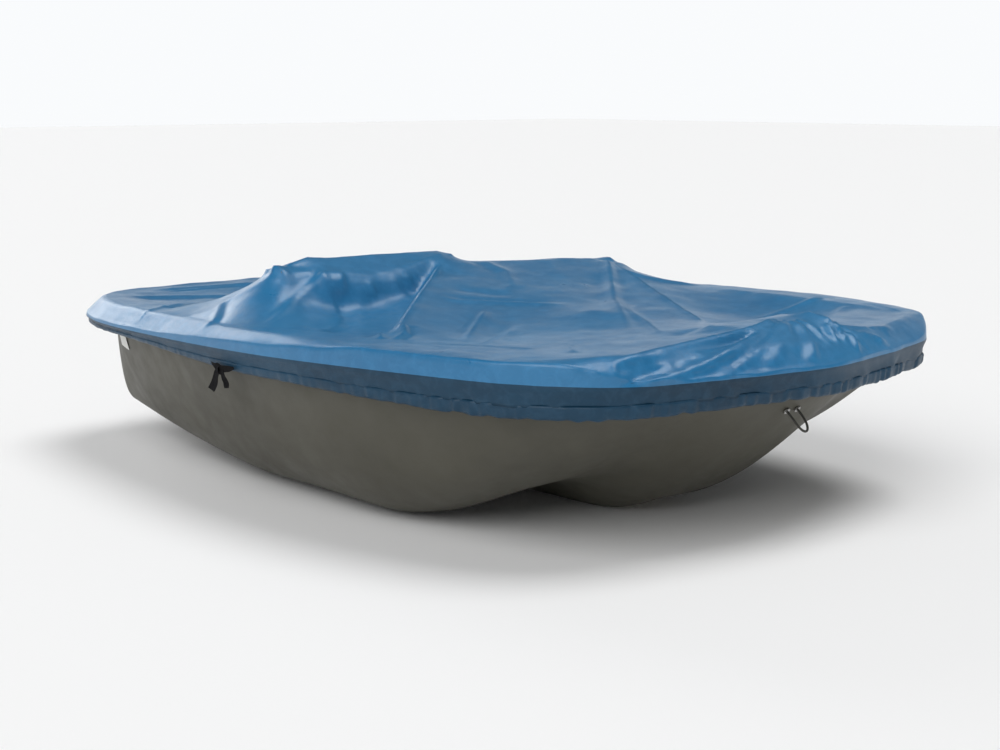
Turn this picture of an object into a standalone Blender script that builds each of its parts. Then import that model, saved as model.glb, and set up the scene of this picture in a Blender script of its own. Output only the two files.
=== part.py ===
"""Pedal boat under its fitted mooring cover. Metres, +X to the bow, +Y to port, +Z up.
Origin: on the ground plane under the middle of the boat's length and beam."""
import math

import bmesh
import bpy
import numpy as np
from mathutils import Matrix, Vector

# ------------------------------------------------------------------ sizes
HALF_LENGTH = 1.142        # half the length and half the beam of the joint line
HALF_BEAM = 0.806
LIP_STERN, LIP_RISE = 0.375, 0.030   # height of the hull/deck joint, and how much it rises to the bow
SHELL = 0.005              # wall of the two vacuum-formed mouldings
GAP = 0.0005
FLANGE_EDGE = 0.0075
GUNWALE = 0.045            # gunwale top above the joint
STERN_FOOT_X, STERN_FOOT_Z = -1.03, 0.105
KEEL_Y = 0.455             # side keels
SHAFT_X, SHAFT_Z, SHAFT_R = 0.50, 0.27, 0.009
CRANK_R = 0.083
WELL_FLOOR = 0.148
PADDLE_R, PADDLE_W = 0.190, 0.150
HOUSE_X0, HOUSE_X1, HOUSE_HALF_Y = 0.285, 0.715, 0.096
LEVER_X, LEVER_Z, LEVER_ARM = 0.10, 0.345, 0.060
ROD_Y, ROD_Z = 0.050, LEVER_Z - LEVER_ARM
RUDDER_X, TILLER_R = -0.86, 0.050
COVER_T = 0.003

for o in list(bpy.data.objects):
    bpy.data.objects.remove(o, do_unlink=True)
PARTS = bpy.data.collections.new("pedal_boat")
CUTS = bpy.data.collections.new("cutters")
bpy.context.scene.collection.children.link(PARTS)
bpy.context.scene.collection.children.link(CUTS)
CUTS.hide_render = True


def material(name, rgb, rough, metal=0.0):
    m = bpy.data.materials.new(name)
    m.use_nodes = True
    b = m.node_tree.nodes["Principled BSDF"]
    b.inputs["Base Color"].default_value = (*rgb, 1)
    b.inputs["Roughness"].default_value = rough
    b.inputs["Metallic"].default_value = metal
    return m


HULL = material("hull_green_grey", (0.105, 0.103, 0.078), 0.5)
DECK = material("deck_sand", (0.55, 0.50, 0.40), 0.5)
SEAT = material("seat_grey", (0.20, 0.21, 0.22), 0.55)
VINYL = material("cover_blue_vinyl", (0.035, 0.165, 0.36), 0.3)
BLACK = material("black_plastic", (0.02, 0.02, 0.021), 0.5)
WEBBING = material("black_webbing", (0.012, 0.012, 0.012), 0.85)
STEEL = material("stainless_steel", (0.62, 0.62, 0.60), 0.3, 1.0)
WHITE = material("white_plastic", (0.75, 0.75, 0.72), 0.5)
FOAM = material("white_foam", (0.85, 0.85, 0.83), 0.9)
RUBBER = material("black_rubber", (0.02, 0.02, 0.02), 0.8)
YELLOW = material("paddle_plastic", (0.55, 0.52, 0.45), 0.5)


def put(name, mesh, mat, collection=PARTS):
    o = bpy.data.objects.new(name, mesh)
    collection.objects.link(o)
    if mat:
        mesh.materials.append(mat)
    return o


def from_bm(name, bm, mat, collection=PARTS, smooth=True):
    bmesh.ops.recalc_face_normals(bm, faces=bm.faces)
    me = bpy.data.meshes.new(name)
    bm.to_mesh(me)
    bm.free()
    if smooth:
        me.shade_smooth()
        me.set_sharp_from_angle(angle=math.radians(35))
    return put(name, me, mat, collection)


def cutter(o):
    o.hide_render = True
    o.display_type = "WIRE"
    return o


def bm_box(bm, lo, hi, bevel=0.0):
    lo, hi = Vector(lo), Vector(hi)
    m = Matrix.Translation((lo + hi) / 2) @ Matrix.Diagonal((*(hi - lo), 1))
    new = bmesh.ops.create_cube(bm, size=1.0, matrix=m)["verts"]
    if bevel:
        edges = list({e for v in new for e in v.link_edges})
        bmesh.ops.bevel(bm, geom=edges, offset=bevel, segments=1, affect="EDGES", clamp_overlap=True)


def bm_rod(bm, a, b, r, sides=12, r2=None):
    a, b = Vector(a), Vector(b)
    d = b - a
    m = Matrix.Translation((a + b) / 2) @ d.to_track_quat("Z", "Y").to_matrix().to_4x4()
    bmesh.ops.create_cone(bm, cap_ends=True, segments=sides, radius1=r, radius2=r if r2 is None else r2, depth=d.length, matrix=m)


def box(name, lo, hi, mat, bevel=0.0, collection=PARTS):
    bm = bmesh.new()
    bm_box(bm, lo, hi, bevel)
    return from_bm(name, bm, mat, collection)


def rod(name, a, b, r, mat, sides=16, collection=PARTS):
    bm = bmesh.new()
    bm_rod(bm, a, b, r, sides)
    return from_bm(name, bm, mat, collection)


def boolean(o, cut, op="DIFFERENCE"):
    m = o.modifiers.new("cut", "BOOLEAN")
    m.operation, m.solver, m.object = op, "EXACT", cut
    return o


def tube(name, pts, r, mat, res=2, cyclic=False):
    c = bpy.data.curves.new(name, "CURVE")
    c.dimensions = "3D"
    c.bevel_depth, c.bevel_resolution, c.use_fill_caps = r, res, not cyclic
    s = c.splines.new("POLY")
    s.points.add(len(pts) - 1)
    for p, q in zip(s.points, pts):
        p.co = (*q, 1)
    s.use_cyclic_u = cyclic
    o = bpy.data.objects.new(name, c)
    PARTS.objects.link(o)
    c.materials.append(mat)
    return o


def smooth(a, b, t):
    t = min(1.0, max(0.0, (t - a) / (b - a)))
    return t * t * (3 - 2 * t)


def ramp(a, b, t):
    return min(1.0, max(0.0, (t - a) / (b - a)))


# ------------------------------------------------------------------ plan of the joint line
# offsets of the joint line, bow centre to stern centre, port half
OFFSETS = [(HALF_LENGTH, 0), (1.122, 0.16), (1.078, 0.36), (1.020, 0.537), (0.906, 0.658), (0.56, 0.767), (0.10, HALF_BEAM),
           (-0.46, 0.752), (-0.88, 0.675), (-1.062, 0.580), (-1.136, 0.42), (-HALF_LENGTH, 0.22), (-HALF_LENGTH, 0)]


def dense_half(n=400):
    """Centripetal spline through OFFSETS, bow centre to stern centre, evenly spaced."""
    p = [(OFFSETS[1][0], -OFFSETS[1][1])] + OFFSETS + [(OFFSETS[-2][0], -OFFSETS[-2][1])]
    out = []
    for i in range(1, len(p) - 2):
        p0, p1, p2, p3 = (Vector(q) for q in p[i - 1:i + 3])
        t0 = 0.0
        t1 = t0 + (p1 - p0).length ** 0.5
        t2 = t1 + (p2 - p1).length ** 0.5
        t3 = t2 + (p3 - p2).length ** 0.5
        for k in range(24):
            t = t1 + (t2 - t1) * k / 24
            a1 = p0 * (t1 - t) / (t1 - t0) + p1 * (t - t0) / (t1 - t0)
            a2 = p1 * (t2 - t) / (t2 - t1) + p2 * (t - t1) / (t2 - t1)
            a3 = p2 * (t3 - t) / (t3 - t2) + p3 * (t - t2) / (t3 - t2)
            b1 = a1 * (t2 - t) / (t2 - t0) + a2 * (t - t0) / (t2 - t0)
            b2 = a2 * (t3 - t) / (t3 - t1) + a3 * (t - t1) / (t3 - t1)
            out.append(b1 * (t2 - t) / (t2 - t1) + b2 * (t - t1) / (t2 - t1))
    out.append(Vector(OFFSETS[-1]))
    q = np.array([tuple(v) for v in out])
    s = np.concatenate([[0], np.cumsum(np.linalg.norm(np.diff(q, axis=0), axis=1))])
    at = np.linspace(0, s[-1], n)
    return np.stack([np.interp(at, s, q[:, k]) for k in range(2)], 1)


HALF = dense_half()
TAN = np.gradient(HALF, axis=0)
TAN /= np.linalg.norm(TAN, axis=1)[:, None]
NORMAL = np.stack([-TAN[:, 1], TAN[:, 0]], 1) * -1.0   # outward
if NORMAL[200, 1] < 0:
    NORMAL *= -1


def lip_z(x):
    return LIP_STERN + LIP_RISE * smooth(-1.1, 0.7, x)


def edge(s, inset=0.0, side=1):
    """Point of the joint line at share s (0 bow centre, 1 stern centre), moved inwards. side 1 port, -1 starboard."""
    f = s * (len(HALF) - 1)
    i = min(int(f), len(HALF) - 2)
    t = f - i
    p = HALF[i] * (1 - t) + HALF[i + 1] * t
    n = NORMAL[i] * (1 - t) + NORMAL[i + 1] * t
    n = n / np.linalg.norm(n)
    q = p - n * inset
    if s <= 0 or s >= 1:
        q = np.array([p[0] - inset * math.copysign(1.0, p[0]), 0.0])
    return Vector((q[0], side * q[1]))


def share_at(x_target, front=False):
    """Share along the joint line where its side passes x."""
    i = int(np.argmin(np.abs(HALF[:, 0] - x_target) + (HALF[:, 1] < 0.3) * 9))
    return i / (len(HALF) - 1)


S_KEEL_BOW = share_at(0.985)     # where a side keel's stem meets the joint
S_SIDE_BOW = share_at(0.84)      # where the topside's forward edge meets it
S_SIDE_STERN = share_at(-1.03)
S_KEEL_STERN = share_at(-1.132)


# ------------------------------------------------------------------ lower hull surface
def keel_centre(x):
    if x > 0.52:
        return (lip_z(1.1) - 0.004) * ((x - 0.52) / (HALF_LENGTH - 0.024 - 0.52)) ** 1.95
    return 0.0 + 0.150 * smooth(0.30, -0.10, x)


def keel_side(x, x_end):
    if x > 0.24:
        return (lip_z(1.0) - 0.004) * ((x - 0.24) / (x_end - 0.24)) ** 1.72
    return STERN_FOOT_Z * (max(0.0, -0.24 - x) / 0.79) ** 1.35


def tunnel_roof(x, x_end):
    return 0.100 + 0.050 * smooth(0.10, -0.30, x) + (lip_z(1.05) - 0.104) * max(0.0, (x - 0.52) / (x_end - 0.52)) ** 1.9


def hull_inset(s):
    """The hull's side stands further in under the joint towards the stern's corners."""
    return 0.024 + 0.052 * smooth(0.55, 0.80, s) * (1 - 0.6 * smooth(0.86, 1.0, s))


def bottom_point(c, w, inset=0.024):
    """Bottom between the side keels: c is -1..1 across, w 0..1 from the stern's foot to the bow."""
    a, side = abs(c), 1 if c >= 0 else -1
    end = edge(S_KEEL_BOW * a, inset, side)
    x = STERN_FOOT_X + (end.x - STERN_FOOT_X) * w
    y0 = KEEL_Y * a
    y = side * (y0 + (abs(end.y) - y0) * smooth(0.45, 1.0, w) ** 1.3)
    x_end = end.x
    k = edge(S_KEEL_BOW, inset).x
    # the three lines are compared at the same share of their own run, so that they meet the joint line together
    xc = STERN_FOOT_X + (HALF_LENGTH - inset - STERN_FOOT_X) * w
    xk = STERN_FOOT_X + (k - STERN_FOOT_X) * w
    zc, zk, zt = keel_centre(xc), keel_side(xk, k), tunnel_roof(x, x_end)
    if a < 0.56:
        t = smooth(0.20, 0.56, a)
        z = zc + (zt - zc) * t
    else:
        t = smooth(0.60, 0.945, a)
        z = zt + (zk - zt) * t
    return Vector((x, y, min(z, lip_z(x) - 0.005)))


SIDE_OUT = [0.0, 0.20, 0.42, 0.60, 0.735, 0.835, 0.925, 1.0]
SIDE_UP = [0.0, 0.030, 0.125, 0.28, 0.46, 0.63, 0.82, 1.0]


def side_point(q, w, side=1, inset=0.024):
    """Topside from a side keel (q 0) to the joint (q 1)."""
    k = bottom_point(side * 1.0, w, inset)
    s = S_SIDE_STERN + (S_SIDE_BOW - S_SIDE_STERN) * w
    e = edge(s, hull_inset(s), side)
    top = Vector((e.x, e.y, lip_z(e.x) - 0.005))
    f = q * (len(SIDE_OUT) - 1)
    i = min(int(f), len(SIDE_OUT) - 2)
    t = f - i
    out = SIDE_OUT[i] + (SIDE_OUT[i + 1] - SIDE_OUT[i]) * t
    up = SIDE_UP[i] + (SIDE_UP[i + 1] - SIDE_UP[i]) * t
    # towards the bow the stem stands proud: the flare straightens
    lean = smooth(0.62, 1.0, w)
    out = out + (up ** 0.8 - out) * lean * 0.75
    return Vector((k.x + (top.x - k.x) * (0.35 * out + 0.65 * up), k.y + (top.y - k.y) * out, k.z + (top.z - k.z) * up))


C_COLS = [0.0, 0.12, 0.22, 0.34, 0.46, 0.58, 0.70, 0.80, 0.88, 0.95, 1.0]
ROWS_W = [0.0, 0.06, 0.13, 0.21, 0.30, 0.38, 0.44, 0.50, 0.56, 0.61, 0.66, 0.71, 0.76, 0.81, 0.855, 0.895, 0.93, 0.96, 0.983, 1.0]
N_SIDE = len(SIDE_OUT) - 1


def hull_columns():
    """(kind, value, side) of each column from the starboard joint to the port joint."""
    cols = [("side", 1 - k / N_SIDE, -1) for k in range(N_SIDE)]
    cols += [("bottom", -c, -1) for c in reversed(C_COLS)]
    cols += [("bottom", c, 1) for c in C_COLS[1:]]
    cols += [("side", (k + 1) / N_SIDE, 1) for k in range(N_SIDE)]
    return cols


def stern_top(kind, value, side, inset=0.024):
    if kind == "bottom":
        s = 1 - (1 - S_KEEL_STERN) * abs(value)
    else:
        s = S_KEEL_STERN + (S_SIDE_STERN - S_KEEL_STERN) * value
    e = edge(s, hull_inset(s), side if abs(value) > 0 or kind == "side" else 1)
    return Vector((e.x, e.y, lip_z(e.x) - 0.005))


def bow_top(kind, value, side, inset=0.024):
    if kind == "bottom":
        s = S_KEEL_BOW * abs(value)
    else:
        s = S_KEEL_BOW + (S_SIDE_BOW - S_KEEL_BOW) * value
    e = edge(s, inset, side)
    return Vector((e.x, e.y, lip_z(e.x) - 0.005))


def hull_grid():
    cols = hull_columns()
    rows = []
    low = []
    for kind, value, side in cols:
        low.append(bottom_point(value, 0.0) if kind == "bottom" else side_point(value, 0.0, side))
    top = [stern_top(*c) for c in cols]
    for t in (0.0, 0.33, 0.72):
        rows.append([a.lerp(b, t) for a, b in zip(top, low)])
    rows.append(low)
    for w in ROWS_W[1:-1]:
        rows.append([bottom_point(v, w) if k == "bottom" else side_point(v, w, s) for k, v, s in cols])
    rows.append([bow_top(*c) for c in cols])
    return rows


def grid_mesh(name, rows, mat, flange=None, thick=SHELL, closed=False):
    """A sheet through rows of points, with an optional ring outside its edge, made solid inwards."""
    bm = bmesh.new()
    v = [[bm.verts.new(p) for p in r] for r in rows]
    n, m = len(rows), len(rows[0])
    for i in range(n - 1):
        for j in range(m - 1):
            bm.faces.new((v[i][j], v[i + 1][j], v[i + 1][j + 1], v[i][j + 1]))
    rim = [v[0][j] for j in range(m)] + [v[i][m - 1] for i in range(1, n)] + [v[n - 1][j] for j in range(m - 2, -1, -1)] + [v[i][0] for i in range(n - 2, 0, -1)]
    for ring in flange or []:
        new = [bm.verts.new(ring(p.co)) for p in rim]
        for k in range(len(rim)):
            a, b = rim[k], rim[(k + 1) % len(rim)]
            bm.faces.new((a, b, new[(k + 1) % len(rim)], new[k]))
        rim = new
    bmesh.ops.remove_doubles(bm, verts=bm.verts, dist=0.0002)
    me = bpy.data.meshes.new(name)
    bm.normal_update()
    bm.to_mesh(me)
    bm.free()
    me.shade_smooth()
    me.set_sharp_from_angle(angle=math.radians(35))
    o = put(name, me, mat)
    s = o.modifiers.new("wall", "SOLIDIFY")
    s.thickness, s.offset, s.use_even_offset, s.use_quality_normals = thick, -1, False, True
    return o


RING_S = [i / 700 for i in range(701)]
RING_PTS = [edge(s) for s in RING_S]


def nearest_share(p):
    d = [(q.x - p.x) ** 2 + (q.y - abs(p.y)) ** 2 for q in RING_PTS]
    i = int(np.argmin(d))
    return RING_S[i]


def ring_at(inset, dz):
    def move(p):
        s = nearest_share(p)
        side = 1 if p.y >= 0 else -1
        e = edge(s, inset, side)
        if abs(p.y) < 1e-6:
            e.y = 0.0
        return Vector((e.x, e.y, lip_z(e.x) + (dz(e.x) if callable(dz) else dz)))
    return move


hull = grid_mesh("hull_shell", [r[::-1] for r in hull_grid()], HULL, [ring_at(FLANGE_EDGE, -SHELL)])

# ------------------------------------------------------------------ deck surface
U_LINES = [0.0, 0.035, 0.055, 0.085, 0.14, 0.205, 0.235, 0.262, 0.31, 0.352, 0.372, 0.41, 0.45, 0.495, 0.525, 0.542, 0.60, 0.70, 0.79, 0.82, 0.85, 0.88, 0.91, 0.93, 0.965, 1.0]
A_LINES = [0.0, 0.08, 0.15, 0.18, 0.27, 0.38, 0.51, 0.64, 0.715, 0.750, 0.855, 0.885, 0.95, 1.0]
S_CORNER_BOW, S_CORNER_STERN = share_at(0.915), share_at(-1.06)


def coons(u, v, inset):
    """Plan point of the patch bounded by the joint line: u 0 stern, 1 bow; v 0 starboard, 1 port."""
    def side(uu, sgn):
        return edge(S_CORNER_STERN + (S_CORNER_BOW - S_CORNER_STERN) * uu, inset, sgn)

    def end(vv, bow):
        a = abs(vv - 0.5) * 2
        s = S_CORNER_BOW * a if bow else 1 - (1 - S_CORNER_STERN) * a
        return edge(s, inset, 1 if vv > 0.5 else -1)
    p00, p10, p01, p11 = side(0, -1), side(1, -1), side(0, 1), side(1, 1)
    p = side(u, -1) * (1 - v) + side(u, 1) * v + end(v, False) * (1 - u) + end(v, True) * u
    p -= p00 * (1 - u) * (1 - v) + p10 * u * (1 - v) + p01 * (1 - u) * v + p11 * u * v
    return p


def deck_height(u, a, x, y):
    zg = lip_z(x) + GUNWALE
    z = zg
    ridge = 0.315
    if 0.045 < u < 0.925:
        # level of the moulding inside the gunwales
        if u < 0.25:
            floor = 0.235
        elif u < 0.39:
            floor = 0.315
        elif u < 0.535:
            floor = 0.272
        else:
            floor = WELL_FLOOR
        if 0.232 < u < 0.265:
            floor = 0.235 + 0.08 * ramp(0.235, 0.262, u)
        if 0.365 < u < 0.415:
            floor = 0.315 - 0.043 * ramp(0.372, 0.41, u)
        if 0.52 < u < 0.545:
            floor = 0.272 + (WELL_FLOOR - 0.272) * ramp(0.525, 0.542, u)
        if u > 0.79:
            floor = WELL_FLOOR + (zg - WELL_FLOOR) * ramp(0.79, 0.91, u)
        if u < 0.086:
            floor = 0.235 + (zg - 0.235) * ramp(0.085, 0.055, u)
        mid = ridge if u < 0.90 else ridge + (zg - ridge) * ramp(0.90, 0.93, u)
        if u > 0.845:
            mid = ridge + (zg - ridge) * ramp(0.845, 0.93, u)
        if u < 0.086:
            mid = ridge + (zg - ridge) * ramp(0.085, 0.055, u)
        if 0.262 <= u <= 0.525:
            mid = max(mid, floor)
        inner = mid + (floor - mid) * ramp(0.15, 0.18, a)
        if a >= 0.75:
            inner = floor + (zg - floor) * ramp(0.75, 0.855, a)
        z = inner if a < 0.86 else zg
    # raised nose above the towing eye
    nose = smooth(0.84, 0.915, u) * (1 - smooth(0.965, 1.0, u)) * (1 - smooth(0.17, 0.37, a))
    z = z + (0.487 - z) * nose if z < 0.487 else z
    # crown of the gunwale
    if a > 0.86 and 0.03 < u < 0.96:
        z += 0.004
    return z


def deck_rows(dz=0.0, inset=0.045):
    rows = []
    for u in U_LINES:
        row = []
        for sgn, lines in ((-1, A_LINES[::-1]), (1, A_LINES[1:])):
            for a in lines:
                p = coons(u, 0.5 + 0.5 * sgn * a, inset)
                row.append(Vector((p.x, 0.0 if a == 0 else p.y, deck_height(u, a, p.x, p.y) + dz)))
        rows.append(row)
    return rows


deck = grid_mesh("deck_shell", deck_rows(), DECK, [ring_at(0.030, GUNWALE * 0.86), ring_at(0.0225, SHELL + GAP), ring_at(FLANGE_EDGE, SHELL + GAP)])

# ------------------------------------------------------------------ joint: rub rail and rivets
def sweep_ring(name, section, n, mat):
    """A closed strip round the joint line. section is (inset, dz) points in order round the strip."""
    bm = bmesh.new()
    turn = np.concatenate([[0], np.cumsum(np.linalg.norm(np.diff(TAN, axis=0), axis=1))])
    mark = np.linspace(0, 1, len(HALF)) * 3.0 + turn
    shares = list(np.interp(np.linspace(0, mark[-1], n + 1), mark, np.linspace(0, 1, len(HALF))))
    shares[0], shares[-1] = 0.0, 1.0
    stations = [(s, 1) for s in shares] + [(s, -1) for s in shares[-2:0:-1]]
    loops = []
    for s, side in stations:
        loop = []
        for inset, dz in section:
            e = edge(s, inset, side)
            loop.append(bm.verts.new((e.x, e.y, lip_z(edge(s).x) + dz)))
        loops.append(loop)
    for a, b in zip(loops, loops[1:] + loops[:1]):
        for k in range(len(section)):
            m = (k + 1) % len(section)
            bm.faces.new((a[k], b[k], b[m], a[m]))
    return from_bm(name, bm, mat)


TOP = SHELL + 3 * GAP
sweep_ring("rub_rail", [(0.0165, TOP), (0.0165, TOP + 0.003), (0.0012, TOP + 0.003), (0.0, 0.0), (0.0012, -TOP - 0.003), (0.0165, -TOP - 0.003), (0.0165, -TOP), (0.0045, -TOP), (0.0045, TOP)], 52, RUBBER)


# ------------------------------------------------------------------ paddle housing through deck and hull
bm = bmesh.new()
N = 10
prof = [(HOUSE_X0, 0.010)]
cx, rx, rz, z0 = (HOUSE_X0 + HOUSE_X1) / 2, (HOUSE_X1 - HOUSE_X0) / 2, 0.175, 0.303
prof += [(cx - rx * math.cos(math.pi * k / N), z0 + rz * math.sin(math.pi * k / N) ** 0.8) for k in range(N + 1)]
prof += [(HOUSE_X1, 0.110), (0.56, 0.040), (0.40, 0.006)]
left = [bm.verts.new((x, -HOUSE_HALF_Y, z)) for x, z in prof]
right = [bm.verts.new((x, HOUSE_HALF_Y, z)) for x, z in prof]
for k in range(len(prof) - 1):
    bm.faces.new((left[k], left[k + 1], right[k + 1], right[k]))
bm.faces.new(left)
bm.faces.new(right[::-1])
bmesh.ops.recalc_face_normals(bm, faces=bm.faces)
me = bpy.data.meshes.new("paddle_housing")
bm.to_mesh(me)
bm.free()
housing = put("paddle_housing", me, DECK)
s = housing.modifiers.new("wall", "SOLIDIFY")
s.thickness, s.offset, s.use_even_offset = 0.006, -1, True
SHAFT_HOLE = cutter(rod("cut_shaft", (SHAFT_X, -0.13, SHAFT_Z), (SHAFT_X, 0.13, SHAFT_Z), 0.0165, None, 16, CUTS))
boolean(housing, SHAFT_HOLE)
SLOT = cutter(box("cut_paddle_slot", (HOUSE_X0 - 0.001, -HOUSE_HALF_Y - 0.001, -0.02), (HOUSE_X1 + 0.001, HOUSE_HALF_Y + 0.001, 0.34), None, 0.0, CUTS))
boolean(hull, SLOT)
boolean(deck, SLOT)
boolean(deck, cutter(rod("cut_ridge_shaft", (SHAFT_X, -0.17, SHAFT_Z), (SHAFT_X, 0.17, SHAFT_Z), 0.0125, None, 16, CUTS)))

# ------------------------------------------------------------------ shaft, cranks, paddle wheel, pedals
PINS = {"starboard_inner": (-0.270, 1), "starboard_outer": (-0.445, -1), "port_inner": (0.270, -1), "port_outer": (0.445, 1)}
PIN_HALF = 0.055
path = [(-0.555, 0.0)]
for name, sgn in (("starboard_outer", -1), ("starboard_inner", 1), ("port_inner", -1), ("port_outer", 1)):
    y = PINS[name][0]
    r = CRANK_R * sgn
    c = 0.016
    h = PIN_HALF + 0.006
    for yy, rr in ((y - h - c, 0), (y - h - c * 0.3, c * 0.3), (y - h, c), (y - h, abs(r) - c), (y - h + c * 0.3, abs(r) - c * 0.3), (y - h + c, abs(r)),
                   (y + h - c, abs(r)), (y + h - c * 0.3, abs(r) - c * 0.3), (y + h, abs(r) - c), (y + h, c), (y + h + c * 0.3, c * 0.3), (y + h + c, 0)):
        path.append((yy, math.copysign(rr, r) if rr else 0.0))
path.append((0.555, 0.0))
tube("crank_shaft", [(SHAFT_X, y, SHAFT_Z + r) for y, r in path], SHAFT_R, STEEL, 2)

bm = bmesh.new()
bm_rod(bm, (SHAFT_X, -PADDLE_W / 2, SHAFT_Z), (SHAFT_X, PADDLE_W / 2, SHAFT_Z), 0.030, 18)
wheel = from_bm("paddle_wheel", bm, YELLOW)
for k in range(6):
    a = math.radians(60 * k + 12)
    bm = bmesh.new()
    bm_box(bm, (0.024, -PADDLE_W / 2 + 0.002, -0.003), (PADDLE_R, PADDLE_W / 2 - 0.002, 0.003))
    bmesh.ops.transform(bm, matrix=Matrix.Translation((SHAFT_X, 0, SHAFT_Z)) @ Matrix.Rotation(-a, 4, "Y"), verts=bm.verts)
    blade = cutter(from_bm(f"join_blade_{k}", bm, None, CUTS))
    boolean(wheel, blade, "UNION")
for k, y in enumerate((-0.05, 0.05)):
    bm = bmesh.new()
    bm_rod(bm, (SHAFT_X, y - 0.003, SHAFT_Z), (SHAFT_X, y + 0.003, SHAFT_Z), 0.105, 18)
    disc = cutter(from_bm(f"join_disc_{k}", bm, None, CUTS))
    boolean(wheel, disc, "UNION")
bore = cutter(rod("cut_wheel_bore", (SHAFT_X, -0.1, SHAFT_Z), (SHAFT_X, 0.1, SHAFT_Z), SHAFT_R + 0.0008, None, 16, CUTS))
boolean(wheel, bore)

for name, (y, sgn) in PINS.items():
    zc = SHAFT_Z + CRANK_R * sgn
    hy = PIN_HALF - 0.014
    p = box(f"pedal_{name}", (SHAFT_X - 0.029, y - hy, zc - 0.0155), (SHAFT_X + 0.029, y + hy, zc + 0.0155), BLACK, 0.004)
    hole = cutter(rod(f"cut_pedal_{name}", (SHAFT_X, y - 0.1, zc), (SHAFT_X, y + 0.1, zc), SHAFT_R + 0.0010, None, 16, CUTS))
    boolean(p, hole)

# bushes in the housing walls, and bearing blocks on the footwells' outer walls
for name, side in (("starboard", -1), ("port", 1)):
    bm = bmesh.new()
    y0, y1 = side * (HOUSE_HALF_Y - 0.009), side * (HOUSE_HALF_Y + 0.006)
    bm_rod(bm, (SHAFT_X, y0, SHAFT_Z), (SHAFT_X, y1, SHAFT_Z), 0.0160, 16)
    b = from_bm(f"shaft_bush_{name}", bm, WHITE)
    bm = bmesh.new()
    bm_rod(bm, (SHAFT_X, side * (HOUSE_HALF_Y + 0.0006), SHAFT_Z), (SHAFT_X, side * (HOUSE_HALF_Y + 0.0040), SHAFT_Z), 0.027, 16)
    boolean(b, cutter(from_bm(f"join_bush_{name}", bm, None, CUTS)), "UNION")
    boolean(b, cutter(rod(f"cut_bush_{name}", (SHAFT_X, side * 0.05, SHAFT_Z), (SHAFT_X, side * 0.15, SHAFT_Z), SHAFT_R + 0.0006, None, 16, CUTS)))
    # block between the deck's wall and the end of the shaft
    blk = box(f"bearing_block_{name}", (SHAFT_X - 0.030, min(side * 0.529, side * 0.549), WELL_FLOOR + 0.0008), (SHAFT_X + 0.030, max(side * 0.529, side * 0.549), SHAFT_Z + 0.030), BLACK, 0.003)
    boolean(blk, cutter(rod(f"cut_block_{name}", (SHAFT_X, side * 0.50, SHAFT_Z), (SHAFT_X, side * 0.62, SHAFT_Z), SHAFT_R + 0.0006, None, 16, CUTS)))

# ------------------------------------------------------------------ seats
def seat(name, y0, y1, prof, mat, wing, thick=0.006):
    cols = [0.0, 0.10, 0.24, 0.5, 0.76, 0.90, 1.0]
    rows = []
    n = len(prof)
    for i, (x, z) in enumerate(prof):
        a = prof[max(0, i - 1)]
        b = prof[min(n - 1, i + 1)]
        d = Vector((b[0] - a[0], b[1] - a[1])).normalized()
        nx, nz = -d.y, d.x   # towards the sitter
        if name.startswith("rear"):
            nx, nz = d.y, -d.x
        row = []
        for c in cols:
            lift = wing * (abs(c - 0.5) * 2) ** 5 * min(1.0, min(i, n - 1 - i) / 3.0)
            row.append(Vector((x + nx * lift, y0 + (y1 - y0) * c, z + nz * lift)))
        rows.append(row)
    return grid_mesh(name, rows, mat, None, thick)


FRONT = [(0.135, 0.282), (0.145, 0.300), (0.10, 0.306), (0.02, 0.298), (-0.055, 0.297), (-0.098, 0.325), (-0.118, 0.40), (-0.142, 0.49), (-0.158, 0.552), (-0.172, 0.563), (-0.186, 0.555)]
REAR = [(-0.196, 0.555), (-0.208, 0.563), (-0.222, 0.552), (-0.245, 0.49), (-0.272, 0.40), (-0.296, 0.360), (-0.34, 0.344), (-0.47, 0.348), (-0.500, 0.336)]
PORT_DROP, PORT_FORWARD = 0.042, 0.085   # the port pair is set one notch forward and lower
for name, side in (("starboard", -1), ("port", 1)):
    lo, hi = sorted((side * 0.150, side * 0.560))
    d, fwd = (PORT_DROP, PORT_FORWARD) if side > 0 else (0.0, 0.0)
    front = [(x + fwd * ramp(0.30, 0.42, z), z - d * ramp(0.33, 0.54, z)) for x, z in FRONT]
    rear = [(x + fwd * 0.8 * ramp(0.36, 0.50, z), z - d * ramp(0.37, 0.54, z)) for x, z in REAR]
    seat(f"seat_{name}", lo, hi, front[::-1], SEAT, 0.022)
    seat(f"rear_seat_{name}", lo, hi, rear[::-1], SEAT, 0.010)

# ------------------------------------------------------------------ steering
def slot_plate(name, lo, hi, hole_lo, hole_hi, mat):
    p = box(name, lo, hi, mat, 0.0)
    boolean(p, cutter(box(f"cut_{name}", hole_lo, hole_hi, None, 0.0, CUTS)))
    return p


bm = bmesh.new()
bm_rod(bm, (LEVER_X, 0, LEVER_Z - LEVER_ARM - 0.010), (LEVER_X, 0, LEVER_Z + 0.110), 0.0080, 12)
lever = from_bm("steering_lever", bm, STEEL)
bm = bmesh.new()
bm_rod(bm, (LEVER_X, -0.016, LEVER_Z), (LEVER_X, 0.016, LEVER_Z), 0.0150, 16)
boolean(lever, cutter(from_bm("join_lever_boss", bm, None, CUTS)), "UNION")
bm = bmesh.new()
bm_rod(bm, (LEVER_X, 0.0, ROD_Z), (LEVER_X, 0.066, ROD_Z), 0.0040, 12)
boolean(lever, cutter(from_bm("join_lever_pin", bm, None, CUTS)), "UNION")
boolean(lever, cutter(rod("cut_lever_pivot", (LEVER_X, -0.05, LEVER_Z), (LEVER_X, 0.05, LEVER_Z), 0.0060, None, 16, CUTS)))
bm = bmesh.new()
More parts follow.
